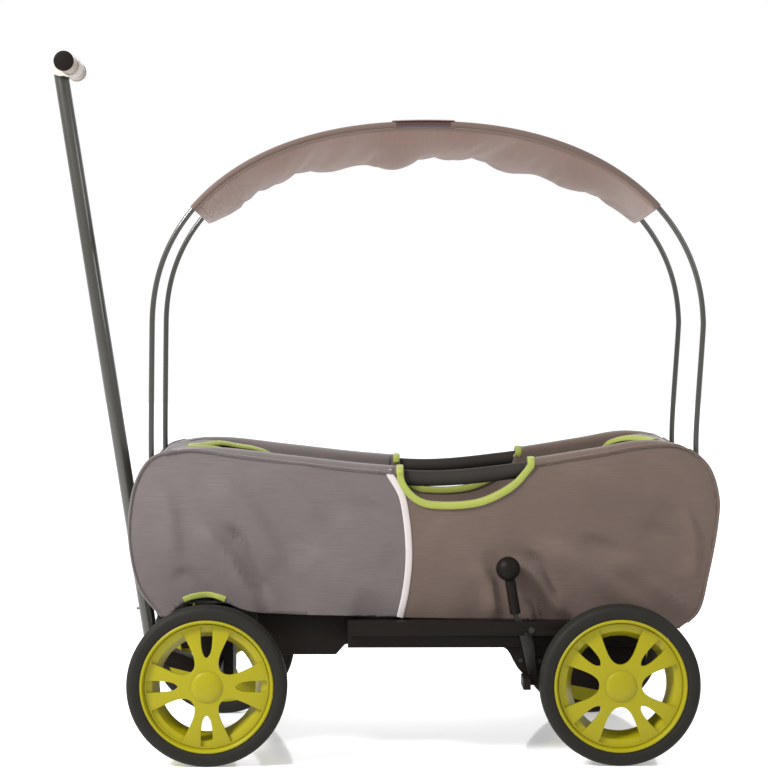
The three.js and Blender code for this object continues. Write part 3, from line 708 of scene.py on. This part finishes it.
def woven_cloth(name, colour, shade, thread_mm=1.1, crumple=0.35):
    """Plain-weave polyester: matt with a soft sheen, faint slubs and a slight crumple."""
    material, tree, shader = new_material(name, Roughness=0.88, IOR=1.42, Sheen_Weight=0.22,
                                          Sheen_Roughness=0.45)
    flat = add_node(tree, "ShaderNodeUVMap", uv_map="cloth")
    place = add_node(tree, "ShaderNodeTexCoord")
    pitch = 0.314 / (thread_mm * MM)
    warp = add_node(tree, "ShaderNodeTexWave", {"Scale": pitch}, {"Vector": (flat, "UV")},
                    bands_direction="X")
    weft = add_node(tree, "ShaderNodeTexWave", {"Scale": pitch}, {"Vector": (flat, "UV")},
                    bands_direction="Y")
    weave = add_node(tree, "ShaderNodeMath", None, None, operation="MULTIPLY")
    tree.links.new(warp.outputs["Fac"], weave.inputs[0])
    tree.links.new(weft.outputs["Fac"], weave.inputs[1])
    stretch = add_node(tree, "ShaderNodeMapping", {"Scale": (1.0, 14.0, 1.0)},
                       {"Vector": (flat, "UV")})
    slub = add_node(tree, "ShaderNodeTexNoise", {"Scale": 26.0, "Detail": 5.0},
                    {"Vector": (stretch, "Vector")})
    cloud = add_node(tree, "ShaderNodeTexNoise", {"Scale": 6.0, "Detail": 3.0},
                     {"Vector": (place, "Object")})
    both = add_node(tree, "ShaderNodeMath", None, None, operation="MULTIPLY")
    tree.links.new(slub.outputs["Fac"], both.inputs[0])
    tree.links.new(cloud.outputs["Fac"], both.inputs[1])
    spread = add_node(tree, "ShaderNodeMapRange", {"From Min": 0.12, "From Max": 0.42},
                      {"Value": (both, "Value")})
    mix_colours(tree, shader, spread, "Result", shade, colour)
    creases = add_node(tree, "ShaderNodeTexNoise",
                       {"Scale": 15.0, "Detail": 4.0, "Distortion": 0.7},
                       {"Vector": (place, "Object")})
    soft = add_node(tree, "ShaderNodeBump", {"Strength": crumple, "Distance": 0.004},
                    {"Height": (creases, "Fac")})
    fine = add_node(tree, "ShaderNodeBump", {"Strength": 0.3, "Distance": 0.0004},
                    {"Height": (weave, "Value"), "Normal": (soft, "Normal")})
    tree.links.new(fine.outputs["Normal"], shader.inputs["Normal"])
    return material


canopy_cloth = woven_cloth("canopy_polyester", "#705a52", "#67524a")
# Painted shade: the sleeves are the canopy's own cloth, coloured darker to stand for the shade on
# them.
shade_darkened_sleeve_cloth = woven_cloth("canopy_sleeve_painted_shade", "#54443d", "#4b3c36")
thread_taupe = moulded_plastic("sewing_thread", "#7a6a60", "#85756b", 0.6)


def cloth_grid(points, flats):
    """A sheet over rows of points, with its flat places kept as the cloth's own coordinates."""
    bm = bmesh.new()
    rows = [[bm.verts.new(p) for p in row] for row in points]
    places = bm.loops.layers.uv.new("cloth")
    for i in range(len(rows) - 1):
        for j in range(len(rows[0]) - 1):
            corners = ((i, j), (i, j + 1), (i + 1, j + 1), (i + 1, j))
            face = bm.faces.new([rows[a][b] for a, b in corners])
            for loop, (a, b) in zip(face.loops, corners):
                loop[places].uv = flats[a][b]
    return bm


def thicken(piece, thickness):
    """Gives a sheet its thickness, half to each side, with closed edges."""
    solid = piece.modifiers.new("thickness", "SOLIDIFY")
    solid.thickness = thickness
    solid.offset = 0.0
    solid.use_even_offset = False
    bpy.context.view_layer.update()
    made = bpy.data.meshes.new_from_object(piece.evaluated_get(
        bpy.context.evaluated_depsgraph_get()))
    piece.modifiers.clear()
    piece.data = made
    return piece


def lengths_along(path):
    """How far each point of a path lies from its start."""
    return np.concatenate([[0], np.cumsum(np.linalg.norm(np.diff(path, axis=0), axis=1))])


def flat_places(points):
    """Flat coordinates for a grid of points: the lengths along its rows and columns."""
    grid = np.array(points, float)
    down = np.linalg.norm(np.diff(grid, axis=0), axis=2).mean(axis=1)
    along = np.linalg.norm(np.diff(grid, axis=1), axis=2).mean(axis=0)
    v = np.concatenate([[0], np.cumsum(down)])
    u = np.concatenate([[0], np.cumsum(along)])
    return [[(a, b) for a in u] for b in v]


def stitches(name, path, facing, material, body, pitch=0.004, radius=0.00035):
    """A row of thread stitches that lie along a path."""
    path = np.array(path, float)
    facing = np.broadcast_to(np.array(facing, float), path.shape)
    gone = lengths_along(path)
    bm = bmesh.new()
    for at in np.arange(pitch, gone[-1] - pitch, pitch):
        ends = [Vector([np.interp(at + d, gone, path[:, k]) for k in range(3)])
                for d in (-pitch * 0.33, pitch * 0.33)]
        out = Vector([np.interp(at, gone, facing[:, k]) for k in range(3)]).normalized()
        way = (ends[1] - ends[0]).normalized()
        side = way.cross(out)
        ring = []
        for end, lift in ((ends[0], 0), ((ends[0] + ends[1]) / 2, radius), (ends[1], 0)):
            ring.append([bm.verts.new(end + side * radius * c + out * (radius * s + lift))
                         for c, s in ((-1, 0), (0, 1), (1, 0), (0, -1))])
        for a, b in zip(ring, ring[1:]):
            for j in range(4):
                bm.faces.new((a[j], a[(j + 1) % 4], b[(j + 1) % 4], b[j]))
        bm.faces.new(ring[0][::-1])
        bm.faces.new(ring[-1])
    bmesh.ops.recalc_face_normals(bm, faces=bm.faces)
    return finish_piece(new_piece(name, bm, 80), material, body)


def hooped_rows():
    """Places along the arch, front end to rear end, evenly spaced, and its length."""
    fine = [arch_point(s, -1) for s in np.linspace(CANOPY_SHARES[0], 0, 300, endpoint=False)]
    fine += [arch_point(s, 1) for s in np.linspace(0, CANOPY_SHARES[1], 300)]
    fine = np.array(fine)
    gone = lengths_along(fine)
    even = np.linspace(0, gone[-1], CANOPY_ROWS)
    rows = np.stack([np.interp(even, gone, fine[:, k]) for k in range(3)], axis=1)
    return rows, gone[-1]


arch_rows, arch_length = hooped_rows()
way = unit_rows(np.gradient(arch_rows, axis=0))
arch_in = np.stack([way[:, 2], np.zeros(len(way)), -way[:, 0]], axis=1)
SHEET_EDGE = 0.0062          # the sheet leaves its sleeves this far inside the hoops' centre line
start_points, flat_points = [], []
for i, (base, inward) in enumerate(zip(arch_rows, arch_in)):
    row, flat_row = [], []
    slack = math.sin(math.pi * i / (CANOPY_ROWS - 1)) ** 0.45
    cut_w = CANOPY_END_W + (CANOPY_FLAT_W - CANOPY_END_W) * slack
    for j in range(CANOPY_COLUMNS + 1):
        across = j / CANOPY_COLUMNS * 2 - 1
        sag = (0.014 + 0.024 * slack) * (1 - across * across)
        wave = slack * (1 - across * across) * (
            0.014 * math.sin(i * 0.13 + 3.0 * across + 0.9)
            + 0.006 * math.sin(i * 0.24 - 2.4 * across))
        row.append(base + inward * (SHEET_EDGE + sag + wave) + np.array((0, across * FRAME_Y, 0)))
        flat_row.append(((CANOPY_FLAT_W + across * cut_w) / 2,
                         i / (CANOPY_ROWS - 1) * arch_length))
    start_points.append(row)
    flat_points.append(flat_row)
canopy = new_piece("sun_canopy_sheet", cloth_grid(start_points, flat_points), 180)
canopy.shape_key_add(name="hung")
cut = canopy.shape_key_add(name="cut")
flat_list = [p for row in flat_points for p in row]
for i, (u, v) in enumerate(flat_list):
    cut.data[i].co = (u, v, 0)
pinned = canopy.vertex_groups.new(name="sewn")
pinned.add([i * (CANOPY_COLUMNS + 1) + j for i in range(CANOPY_ROWS)
            for j in (0, CANOPY_COLUMNS)], 1.0, "REPLACE")
cloth = canopy.modifiers.new("cloth", "CLOTH")
cloth.settings.quality = 9
cloth.settings.mass = 0.25
cloth.settings.air_damping = 3.0
cloth.settings.tension_stiffness = 18
cloth.settings.compression_stiffness = 18
cloth.settings.shear_stiffness = 7
cloth.settings.bending_stiffness = 8.0
cloth.settings.vertex_group_mass = "sewn"
cloth.settings.rest_shape_key = cut
cloth.collision_settings.use_collision = False
last_frame = 46
cloth.point_cache.frame_end = last_frame
for step in range(1, last_frame + 1):
    bpy.context.scene.frame_set(step)
hung = canopy.evaluated_get(bpy.context.evaluated_depsgraph_get())
places = [v.co.copy() for v in hung.data.vertices]
canopy.modifiers.clear()
canopy.shape_key_clear()
for vert, place in zip(canopy.data.vertices, places):
    vert.co = place
bpy.context.scene.frame_set(1)
sheet_grid = np.array([v.co[:] for v in canopy.data.vertices]).reshape(
    CANOPY_ROWS, CANOPY_COLUMNS + 1, 3)
thicken(canopy, CANOPY_THICK)
finish_piece(canopy, canopy_cloth, "sun_canopy", "canopy_cloth", "canopy")

# Sleeves: a double layer round each hoop, its cloth painted darker than the canopy as painted
# shade, with a narrow strip that bridges the opening.
SLEEVE_HALF_W, SLEEVE_HALF_H = 0.0070, 0.0062
sleeve_section = [(SLEEVE_HALF_W * math.cos(t), SLEEVE_HALF_H * math.sin(t))
                  for t in np.linspace(0, 2 * math.pi, 24, endpoint=False)]
strip_section = [(-0.0050, SLEEVE_HALF_H), (0.0050, SLEEVE_HALF_H), (0.0058, 0.0072),
                 (0.0, 0.0086), (-0.0058, 0.0072)]
all_rows = list(range(CANOPY_ROWS))
gaps = [i for i in all_rows if SLEEVE_SLOT[0] < arch_rows[i][0] < SLEEVE_SLOT[1]]
bridge_rows = [gaps[0] - 1] + gaps + [gaps[-1] + 1]
for side, sign in (("near", -1), ("far", 1)):
    shift = np.array((0, sign * FRAME_Y, 0))
    for half, rows in (("front", all_rows[:gaps[0] + 1]), ("rear", all_rows[gaps[-1]:])):
        sleeve = new_piece(f"canopy_sleeve_{half}_{side}",
                           swept([arch_rows[i] + shift for i in rows], sleeve_section,
                                 facing=[-arch_in[i] for i in rows]))
        finish_piece(sleeve, shade_darkened_sleeve_cloth, "sun_canopy", "canopy_cloth")
    bridge = new_piece(f"canopy_sleeve_bridge_{side}",
                       swept([arch_rows[i] + shift for i in bridge_rows], strip_section,
                             facing=[-arch_in[i] for i in bridge_rows]))
    finish_piece(bridge, canopy_cloth, "sun_canopy", "canopy_cloth")
    seam = [arch_rows[i] + shift * (1 + 0.0056 / FRAME_Y) + arch_in[i] * 0.0048
            for i in range(CANOPY_ROWS)]
    stitches(f"canopy_stitching_{side}", seam, (0, sign, 0), thread_taupe,
                                "sun_canopy")
hem_section = [(-0.0045, -0.0011), (0.0045, -0.0011), (0.0050, 0.0), (0.0045, 0.0011),
               (-0.0045, 0.0011), (-0.0050, 0.0)]
for half, row, inner_row in (("front", 0, 3), ("rear", CANOPY_ROWS - 1, CANOPY_ROWS - 4)):
    edge = sheet_grid[row]
    inward = unit_rows(sheet_grid[inner_row] - edge)
    outward = unit_rows(np.cross(np.gradient(edge, axis=0), inward))
    hem = new_piece(f"canopy_hem_{half}",
                    swept(edge + inward * 0.0042, hem_section, facing=outward))
    finish_piece(hem, canopy_cloth, "sun_canopy", "canopy_cloth")

# ---------------------------------------------------------------------------------------------
# Tub: one sewn bag of woven polyester, grey in front and taupe behind, hung from the rim tubes. Its
# side panels bulge and crease a little; the ends are drawn in between them. Soft and unstiffened.
# ---------------------------------------------------------------------------------------------
# The side panel's outline, its lower edge, its colour seam and its hand hole, in millimetres.
TUB_OUTLINE = ((-347, 218), (-388, 269), (-406, 345), (-405, 400), (-394, 448), (-370, 483),
               (-325, 497), (-270, 500), (-148, 487), (-20, 473), (90, 467), (230, 480),
               (347, 498), (430, 511), (490, 502), (532, 470), (549, 420), (548, 380),
               (532, 290), (516, 232), (485, 205))
SKIRT = ((-346, 219), (-331, 240), (-312, 252), (-290, 257), (-268, 256), (-248, 248),
         (-222, 238), (-192, 233), (-82, 228), (32, 225), (176, 220), (302, 216), (400, 211),
         (485, 205))
PIPING = ((13, 464), (15, 458), (34, 425), (42, 387), (46, 343), (46, 311), (41, 267), (32, 225))
HOLE = ((28, 472), (29, 448), (37, 431), (52, 415), (71, 405), (90, 402), (129, 402), (163, 407),
        (195, 420), (221, 437), (239, 457), (248, 472), (250, 480))
PANEL_Y = 0.1675
PANEL_THICK = 0.0012
SEAM_Y = 0.1668               # the seams between the panels and the end covers
HEM_DROP = 0.0115
SLEEVE_FROM, SLEEVE_TO = -0.338, 0.506
LINING_Y = 0.134
FLOOR_Z = 0.2478
# Painted shade: the floor lining is coloured near black for the shade deep in the tub, darker than
# its taupe cloth.
floor_shade_cloth = woven_cloth("floor_lining_painted_shade", "#1d1a18", "#161412")
grey_cloth = woven_cloth("grey_polyester", "#58504f", "#4f4847")
taupe_cloth = woven_cloth("taupe_polyester", "#54463f", "#4b3e37")
TAPE_WIDTH = 0.0090


def offset_line(line, distance):
    """A line in the panel's plane moved sideways."""
    way = unit_rows(np.gradient(line, axis=0))
    return line + np.stack([-way[:, 1], way[:, 0]], axis=1) * distance


outline = drawn_curve(TUB_OUTLINE, 0.006)
skirt = drawn_curve(SKIRT, 0.006)
split = drawn_curve(PIPING, 0.006)
hole = offset_line(drawn_curve(HOLE, 0.004), TAPE_WIDTH)
leftmost = int(np.argmin(outline[:, 0]))
rightmost = int(np.argmax(outline[:, 0]))
top_line = outline[leftmost:rightmost + 1]

# Soft folds: where each starts and ends on the near panel, its half width and its height (mm).
# The far panel has the same folds, turned end for end about the middle of the tub.
FOLDS = ((-290, 372, -182, 240, 13, 6.2), (-246, 372, -172, 268, 11, -4.6),
         (-330, 300, -262, 262, 14, -3.4), (-262, 450, -150, 318, 24, 3.6),
         (-158, 476, -20, 424, 10, 3.0), (-118, 462, 8, 402, 9, -2.2),
         (-196, 470, -92, 400, 14, 2.6), (-356, 430, -322, 330, 18, 3.0),
         (-120, 330, -20, 268, 26, 2.4), (-64, 392, 24, 340, 20, 2.0),
         (214, 318, 312, 232, 10, 5.2), (240, 330, 296, 262, 8, -3.6),
         (232, 262, 262, 222, 6, 3.4), (160, 306, 196, 232, 13, 4.2),
         (262, 344, 432, 246, 22, 5.0), (330, 352, 452, 290, 14, -3.0),
         (378, 326, 508, 236, 18, 5.4), (430, 372, 520, 318, 14, -2.8),
         (498, 392, 522, 290, 10, 4.0), (300, 466, 470, 418, 20, 2.6),
         (90, 380, 180, 322, 26, 2.2))
FOLD_DEPTH = 2.0
FOLD_MIDDLE = 0.07


def top_z(x):
    """Height of the panel's top edge."""
    return np.interp(x, top_line[:, 0], top_line[:, 1])


def fade(value, low, high):
    """0 below low, 1 above high and smooth between."""
    t = np.clip((value - low) / (high - low), 0, 1)
    return t * t * (3 - 2 * t)


def panel_shape(x, z, sign):
    """How far a side panel's cloth stands from the middle plane; sign is -1 on the near side."""
    edge = np.min(np.hypot(outline[:, 0][None, :] - np.atleast_1d(x)[:, None],
                           outline[:, 1][None, :] - np.atleast_1d(z)[:, None]), axis=1)
    full = 1 - np.exp(-edge / 0.030)
    out = PANEL_Y - 0.0015 + 0.0052 * full
    for x0, z0, x1, z1, width, height in FOLDS:
        ax, az, bx, bz = x0 * MM, z0 * MM, x1 * MM, z1 * MM
        if sign > 0:
            ax, bx = 2 * FOLD_MIDDLE - ax, 2 * FOLD_MIDDLE - bx
        way_x, way_z = bx - ax, bz - az
        long = math.hypot(way_x, way_z)
        t = ((x - ax) * way_x + (z - az) * way_z) / long ** 2
        off = ((x - ax) * way_z - (z - az) * way_x) / long + 0.006 * np.sin(t * 5.0)
        ends = np.exp(-np.clip(np.abs(t - 0.5) - 0.32, 0, None) ** 2 / 0.035)
        lean = np.where(off > 0, 1.35, 0.55)
        ridge = np.exp(-(off / (width * MM * lean)) ** 2)
        out = out + FOLD_DEPTH * height * MM * ends * ridge * full
    low = fade(0.285 - z, 0, 0.06)
    out = out + low * 0.0022 * np.sin(x * 58 + sign) * np.sin(x * 23 + 1.0)
    near_top = fade(z - (top_z(x) - 0.045), 0, 0.034)
    return out - 0.0008 * near_top


def fitted_cloth(ring, cell, sign):
    """A panel cut to the given edge, meshed in cells and set at the panel's shape."""
    bm = bmesh.new()
    verts = [bm.verts.new((x, 0, z)) for x, z in ring]
    edges = [bm.edges.new(pair) for pair in zip(verts, verts[1:] + verts[:1])]
    bmesh.ops.triangle_fill(bm, edges=edges, use_beauty=True, normal=(0, -1, 0))
    low, high = np.min(ring, axis=0), np.max(ring, axis=0)
    for axis, normal in ((0, (1, 0, 0)), (1, (0, 0, 1))):
        for at in np.arange(low[axis] + cell * 0.63, high[axis], cell):
            bmesh.ops.bisect_plane(bm, geom=bm.verts[:] + bm.edges[:] + bm.faces[:],
                                   plane_co=Vector(normal) * at, plane_no=normal)
    places = bm.loops.layers.uv.new("cloth")
    for face in bm.faces:
        for loop in face.loops:
            loop[places].uv = (loop.vert.co.x, loop.vert.co.z)
    x = np.array([v.co.x for v in bm.verts])
    z = np.array([v.co.z for v in bm.verts])
    for vert, y in zip(bm.verts, panel_shape(x, z, sign)):
        vert.co.y = sign * y
    bmesh.ops.recalc_face_normals(bm, faces=bm.faces)
    if sum(f.normal.y * f.calc_area() for f in bm.faces) * sign < 0:
        bmesh.ops.reverse_faces(bm, faces=bm.faces)
    return bm


def hem_drop(x):
    """How far the sleeve's hem hangs below the rim: nothing at the ends."""
    return 0.0006 + HEM_DROP * fade(x, -0.345, -0.225) * (1 - fade(x, 0.405, 0.515))


def hem_line(points):
    """The panel's own top edge, tucked just under the sleeve's hem."""
    down = np.clip(hem_drop(points[:, 0]) - 0.0022, 0, None)
    return np.stack([points[:, 0], points[:, 1] - down], axis=1)


top_edge = hem_line(top_line)
front_end = outline[:leftmost]
rear_end = outline[rightmost + 1:]
front_ring = np.vstack([front_end[2:], top_edge[top_edge[:, 0] < 0.008], split[:-1],
                        skirt[skirt[:, 0] < 0.031][::-1][:-1]])
rear_top = top_edge[top_edge[:, 0] > 0.247]
rear_ring = np.vstack([rear_top, rear_end[:-1], skirt[skirt[:, 0] > 0.036][::-1], split[::-1][:-1],
                       [(0.0300, float(top_z(0.0300)) - HEM_DROP + 0.002)],
                       hole[(hole[:, 1] < 0.460)]])
PANEL_RING = {"front": front_ring, "rear": rear_ring}
HALF_CLOTH = {"front": grey_cloth, "rear": taupe_cloth}
HALF_SLOT = {"front": "grey_cloth", "rear": "taupe_cloth"}
for side, sign in (("near", -1), ("far", 1)):
    for half, ring in PANEL_RING.items():
        bm = fitted_cloth(ring, 0.0075, sign)
        panel = thicken(new_piece(f"{half}_panel_{side}", bm, 180), PANEL_THICK)
        finish_piece(panel, HALF_CLOTH[half], "chassis", HALF_SLOT[half])

# Sleeve and lining: each side panel is doubled over its rim tube and runs down inside to the floor.
# Round the hand hole the two layers are sewn together below the foam.
HEM_Y = 0.1694


def edge_z(x):
    """Top of the doubled cloth: the rim, or the edge of the hand hole."""
    rim = top_z(x)
    inside = np.interp(x, hole[:, 0], hole[:, 1], left=9, right=9)
    sunk = 0.0012 * (1 - fade(x, SLEEVE_FROM, SLEEVE_FROM + 0.03)
                     + fade(x, SLEEVE_TO - 0.03, SLEEVE_TO))
    return np.minimum(rim - sunk, inside)


def sleeve_column(x, sign):
    """One line of cloth over the rim, from the outer hem over the tube and down to the floor."""
    top = float(edge_z(x))
    depth = float(fade(float(top_z(x)) - top, 0.004, 0.040))
    outer = HEM_Y - 0.0004 * depth
    inner = LINING_Y + 0.0235 * depth
    drop = float(hem_drop(x)) * (1 - depth) + 0.006 * depth
    middle, half = (outer + inner) / 2, (outer - inner) / 2
    points = [(outer - 0.0006, top - drop)]
    for turn in np.linspace(0, math.pi, 13):
        lift = math.sin(turn) ** 0.75 * drop
        points.append((middle + half * math.cos(turn), top - drop + lift))
    for t in np.linspace(0.06, 1, 20):
        z = (top - drop) * (1 - t) + FLOOR_Z * t
        loose = 0.0035 * math.sin(math.pi * t) * math.sin(x * 31 + 5 * t + sign)
        points.append((inner + (LINING_Y + 0.002 - inner) * fade(t, 0, 0.5) + loose, z))
    return [(x, sign * y, z) for y, z in points]


for side, sign in (("near", -1), ("far", 1)):
    across_hole = [float(x) for x in hole[:, 0] if 0.037 < x < 0.241]
    for half, low, high in (("front", SLEEVE_FROM - 0.012, 0.0222),
                            ("rear", 0.0226, SLEEVE_TO + 0.012)):
        xs = list(np.arange(low, high, 0.0085)) + [high]
        if half == "rear":
            xs = sorted([x for x in xs if not 0.035 < x < 0.243] + across_hole + [0.0365, 0.2415])
        grid = [sleeve_column(x, sign) for x in xs]
        lining = thicken(new_piece(f"{half}_lining_{side}",
                                   cloth_grid(grid, flat_places(grid)), 180), PANEL_THICK)
        finish_piece(lining, HALF_CLOTH[half], "chassis", HALF_SLOT[half])

# End covers: each runs from the chassis up the end, over the top and ends in a curved, bound edge.
# The front one is drawn in by 34 mm, so that the handle can swing past it.
NOSE_HOLLOW = 0.034
TAIL_HOLLOW = 0.008
FRONT_COVER = (-0.319, -0.160)       # where its edge is in the middle and at the walls
REAR_COVER = (0.468, 0.381)


def cover_rows(half):
    """Rows of points across the tub, from the foot of an end up and along the top to the edge."""
    if half == "front":
        climb = outline[outline[:, 0] < -0.325]
        mid_x, wall_x = FRONT_COVER
        way_x = 1
    else:
        climb = outline[outline[:, 0] > 0.475][::-1]
        mid_x, wall_x = REAR_COVER
        way_x = -1
    start_x = climb[-1][0]
    across = np.sin(np.linspace(-1, 1, 45) * math.pi / 2) * SEAM_Y
    rows = []
    for x, z in climb:
        row = []
        for y in across:
            middle = 1 - (y / SEAM_Y) ** 2
            pull = (NOSE_HOLLOW if half == "front" else TAIL_HOLLOW) * middle
            low_part = 1 - fade(z, 0.44, 0.497)
            crease = 0.0022 * math.sin(y * 60 + z * 38) * middle
            row.append((x + way_x * (pull * low_part + crease), y,
                        z - 0.006 * middle * (1 - low_part)))
        rows.append(row)
    for t in np.linspace(0.05, 1, 26):
        row = []
        for y in across:
            reach = min(abs(y) / FRAME_Y, 1.02) ** 2
            end_x = mid_x + (wall_x - mid_x) * reach
            x = start_x + (end_x - start_x) * t
            middle = 1 - (y / SEAM_Y) ** 2
            along = abs(x - mid_x) / abs(wall_x - mid_x) if (x - mid_x) * way_x > 0 else 0
            drop = 0.006 * middle + 0.020 * fade(along, 0.0, 1.0) * reach
            ripple = 0.0016 * math.sin(x * 75 + y * 40) * middle
            row.append((x, y, float(top_z(x)) - drop - 0.0015 + ripple))
        rows.append(row)
    return rows


covers = {}
for half, cloth in HALF_CLOTH.items():
    grid = cover_rows(half)
    cover = thicken(new_piece(f"{half}_cover", cloth_grid(grid, flat_places(grid)), 180),
                    PANEL_THICK)
    finish_piece(cover, cloth, "chassis", HALF_SLOT[half], f"tub_{half}")
    covers[half] = (cover, np.array(grid))

# Floor lining: cloth over a thin felt, laid on the board and tucked in round its edge; its charcoal
# colour is painted shade for the deep inside of the tub.
grid = [[(x, y, FLOOR_Z + 0.0008 * math.sin(x * 41) * math.cos(y * 37))
         for y in np.linspace(-0.1635, 0.1635, 30)] for x in np.linspace(-0.345, 0.500, 80)]
floor_lining = thicken(new_piece("floor_lining", cloth_grid(grid, flat_places(grid)), 180), 0.003)
finish_piece(floor_lining, floor_shade_cloth, "chassis", "taupe_cloth")

# Trim: lime tape folded over every raw edge, white reflective piping down the colour seam and a
# self-coloured welt along the seams between the panels and the end covers. All are stitched on.
lime_tape = woven_cloth("lime_binding", "#838a3d", "#7a8137", 0.9, 0.15)
white_piping = woven_cloth("reflective_piping", "#aaa3a1", "#a19a99", 0.7, 0.1)
thread_pale = moulded_plastic("grey_thread", "#858081", "#918c8d", 0.6)
thread_lime = moulded_plastic("lime_thread", "#8b9440", "#99a24c", 0.6)


def tape_section(width, thick):
    """The section of a folded tape, a little thicker in its middle."""
    half, t = width / 2, thick / 2
    return [(-half, -t), (half, -t), (half + t * 0.7, 0), (half, t), (half * 0.4, t * 1.35),
            (-half * 0.4, t * 1.35), (-half, t), (-half - t * 0.7, 0)]


def trim(name, path, facing, section, material, closed=False):
    """Tape, piping or welt along a path, with cloth coordinates along it."""
    bm = swept(path, section, closed, facing)
    places = bm.loops.layers.uv.new("cloth")
    for face in bm.faces:
        for loop in face.loops:
            loop[places].uv = (loop.vert.co.x + loop.vert.co.y, loop.vert.co.z)
    return finish_piece(new_piece(name, bm, 60), material, "chassis")


def on_panel(line, sign, lift):
    """A line of the panel's plane laid on its cloth, lifted clear of it."""
    return [(x, sign * (panel_shape(x, z, sign)[0] + lift), z) for x, z in line]


TAPE_OPEN = 0.0098            # the tape's width before it is folded round an edge
trims = {(half, side): [] for half in ("front", "rear") for side in ("near", "far")}
for side, sign in (("near", -1), ("far", 1)):
    out = np.array((0, sign, 0))
    trims["front", side].append(trim(f"colour_seam_piping_{side}", on_panel(split, sign, 0.0011),
                                     out, tape_section(TAPE_OPEN, 0.0016), white_piping))
    arch = offset_line(skirt[(skirt[:, 0] > -0.320) & (skirt[:, 0] < -0.252)], 0.0042)
    trims["front", side].append(trim(f"wheel_arch_binding_{side}", on_panel(arch, sign, 0.0008),
                                     out, tape_section(0.0080, 0.0018), lime_tape))
    hole_cut = hole[hole[:, 1] < 0.458]
    tape_line = offset_line(hole_cut, -0.0046)
    # The binding runs along the hole, over the rim at its rear end, back along the lining's side
    # of the hole and over the rim again at its front end.
    path = on_panel(tape_line, sign, 0.0024)
    facing = [(0, sign, 0)] * len(path)
    for x, turns in ((0.2450, np.linspace(0, math.pi, 11)), (0.0320, np.linspace(math.pi, 0, 11))):
        top = float(top_z(x))
        path += [(x, sign * (0.152 + 0.0190 * math.cos(t)), top - 0.0110 + 0.0125 * math.sin(t))
                 for t in turns]
        facing += [(0, sign * math.cos(t), math.sin(t)) for t in turns]
        if turns[0] == 0:
            for a, b in tape_line[::-1]:
                depth = float(fade(float(top_z(a)) - b, 0.004, 0.040))
                path.append((a, sign * (LINING_Y - 0.0012 + 0.0225 * depth), b))
                facing.append((0, -sign, 0))
    trims["rear", side].append(trim(f"hand_hole_binding_{side}", path, facing,
                                    tape_section(TAPE_OPEN, 0.0022), lime_tape, closed=True))
    tape_seam = on_panel(offset_line(hole_cut, -0.0083), sign, 0.0040)
    trims["rear", side].append(stitches(f"hand_hole_stitching_{side}", tape_seam, out, thread_lime,
                                        "chassis", 0.0035))
    for half, line in (("front", top_edge[(top_edge[:, 0] > -0.335) & (top_edge[:, 0] < 0.004)]),
                       ("rear", top_edge[(top_edge[:, 0] > 0.262) & (top_edge[:, 0] < 0.50)])):
        for row, drop in enumerate((0.0005, 0.0052)):
            seam = [(x, sign * (0.1700 - 0.0020 * row), z + 0.002 - drop) for x, z in line]
            trims[half, side].append(stitches(f"rim_hem_stitching_{half}_{row}_{side}", seam, out,
                                              thread_pale if half == "front" else thread_taupe,
                                              "chassis"))
    for half, line in (("front", outline[outline[:, 0] < -0.335][2:]),
                       ("rear", outline[outline[:, 0] > 0.498])):
        welt = [(x, sign * SEAM_Y, z) for x, z in line]
        trims[half, side].append(trim(f"end_seam_welt_{half}_{side}", welt, out,
                                      round_section(0.0022, 10), HALF_CLOTH[half]))
for half, (cover, grid) in covers.items():
    edge = grid[-1]
    ahead = unit_rows(edge - grid[-4])
    keep = np.abs(edge[:, 1]) < 0.1505
    facing = ahead * 0.8 + np.array((0, 0, 0.62))
    tape = trim(f"cover_edge_binding_{half}", edge[keep] + ahead[keep] * 0.001, facing[keep],
                tape_section(TAPE_OPEN, 0.0030), lime_tape)
    seam = edge[keep] - ahead[keep] * 0.0060 + np.array((0, 0, 0.0012))
    thread = stitches(f"cover_edge_stitching_{half}", seam, (0, 0, 1), thread_lime, "chassis")
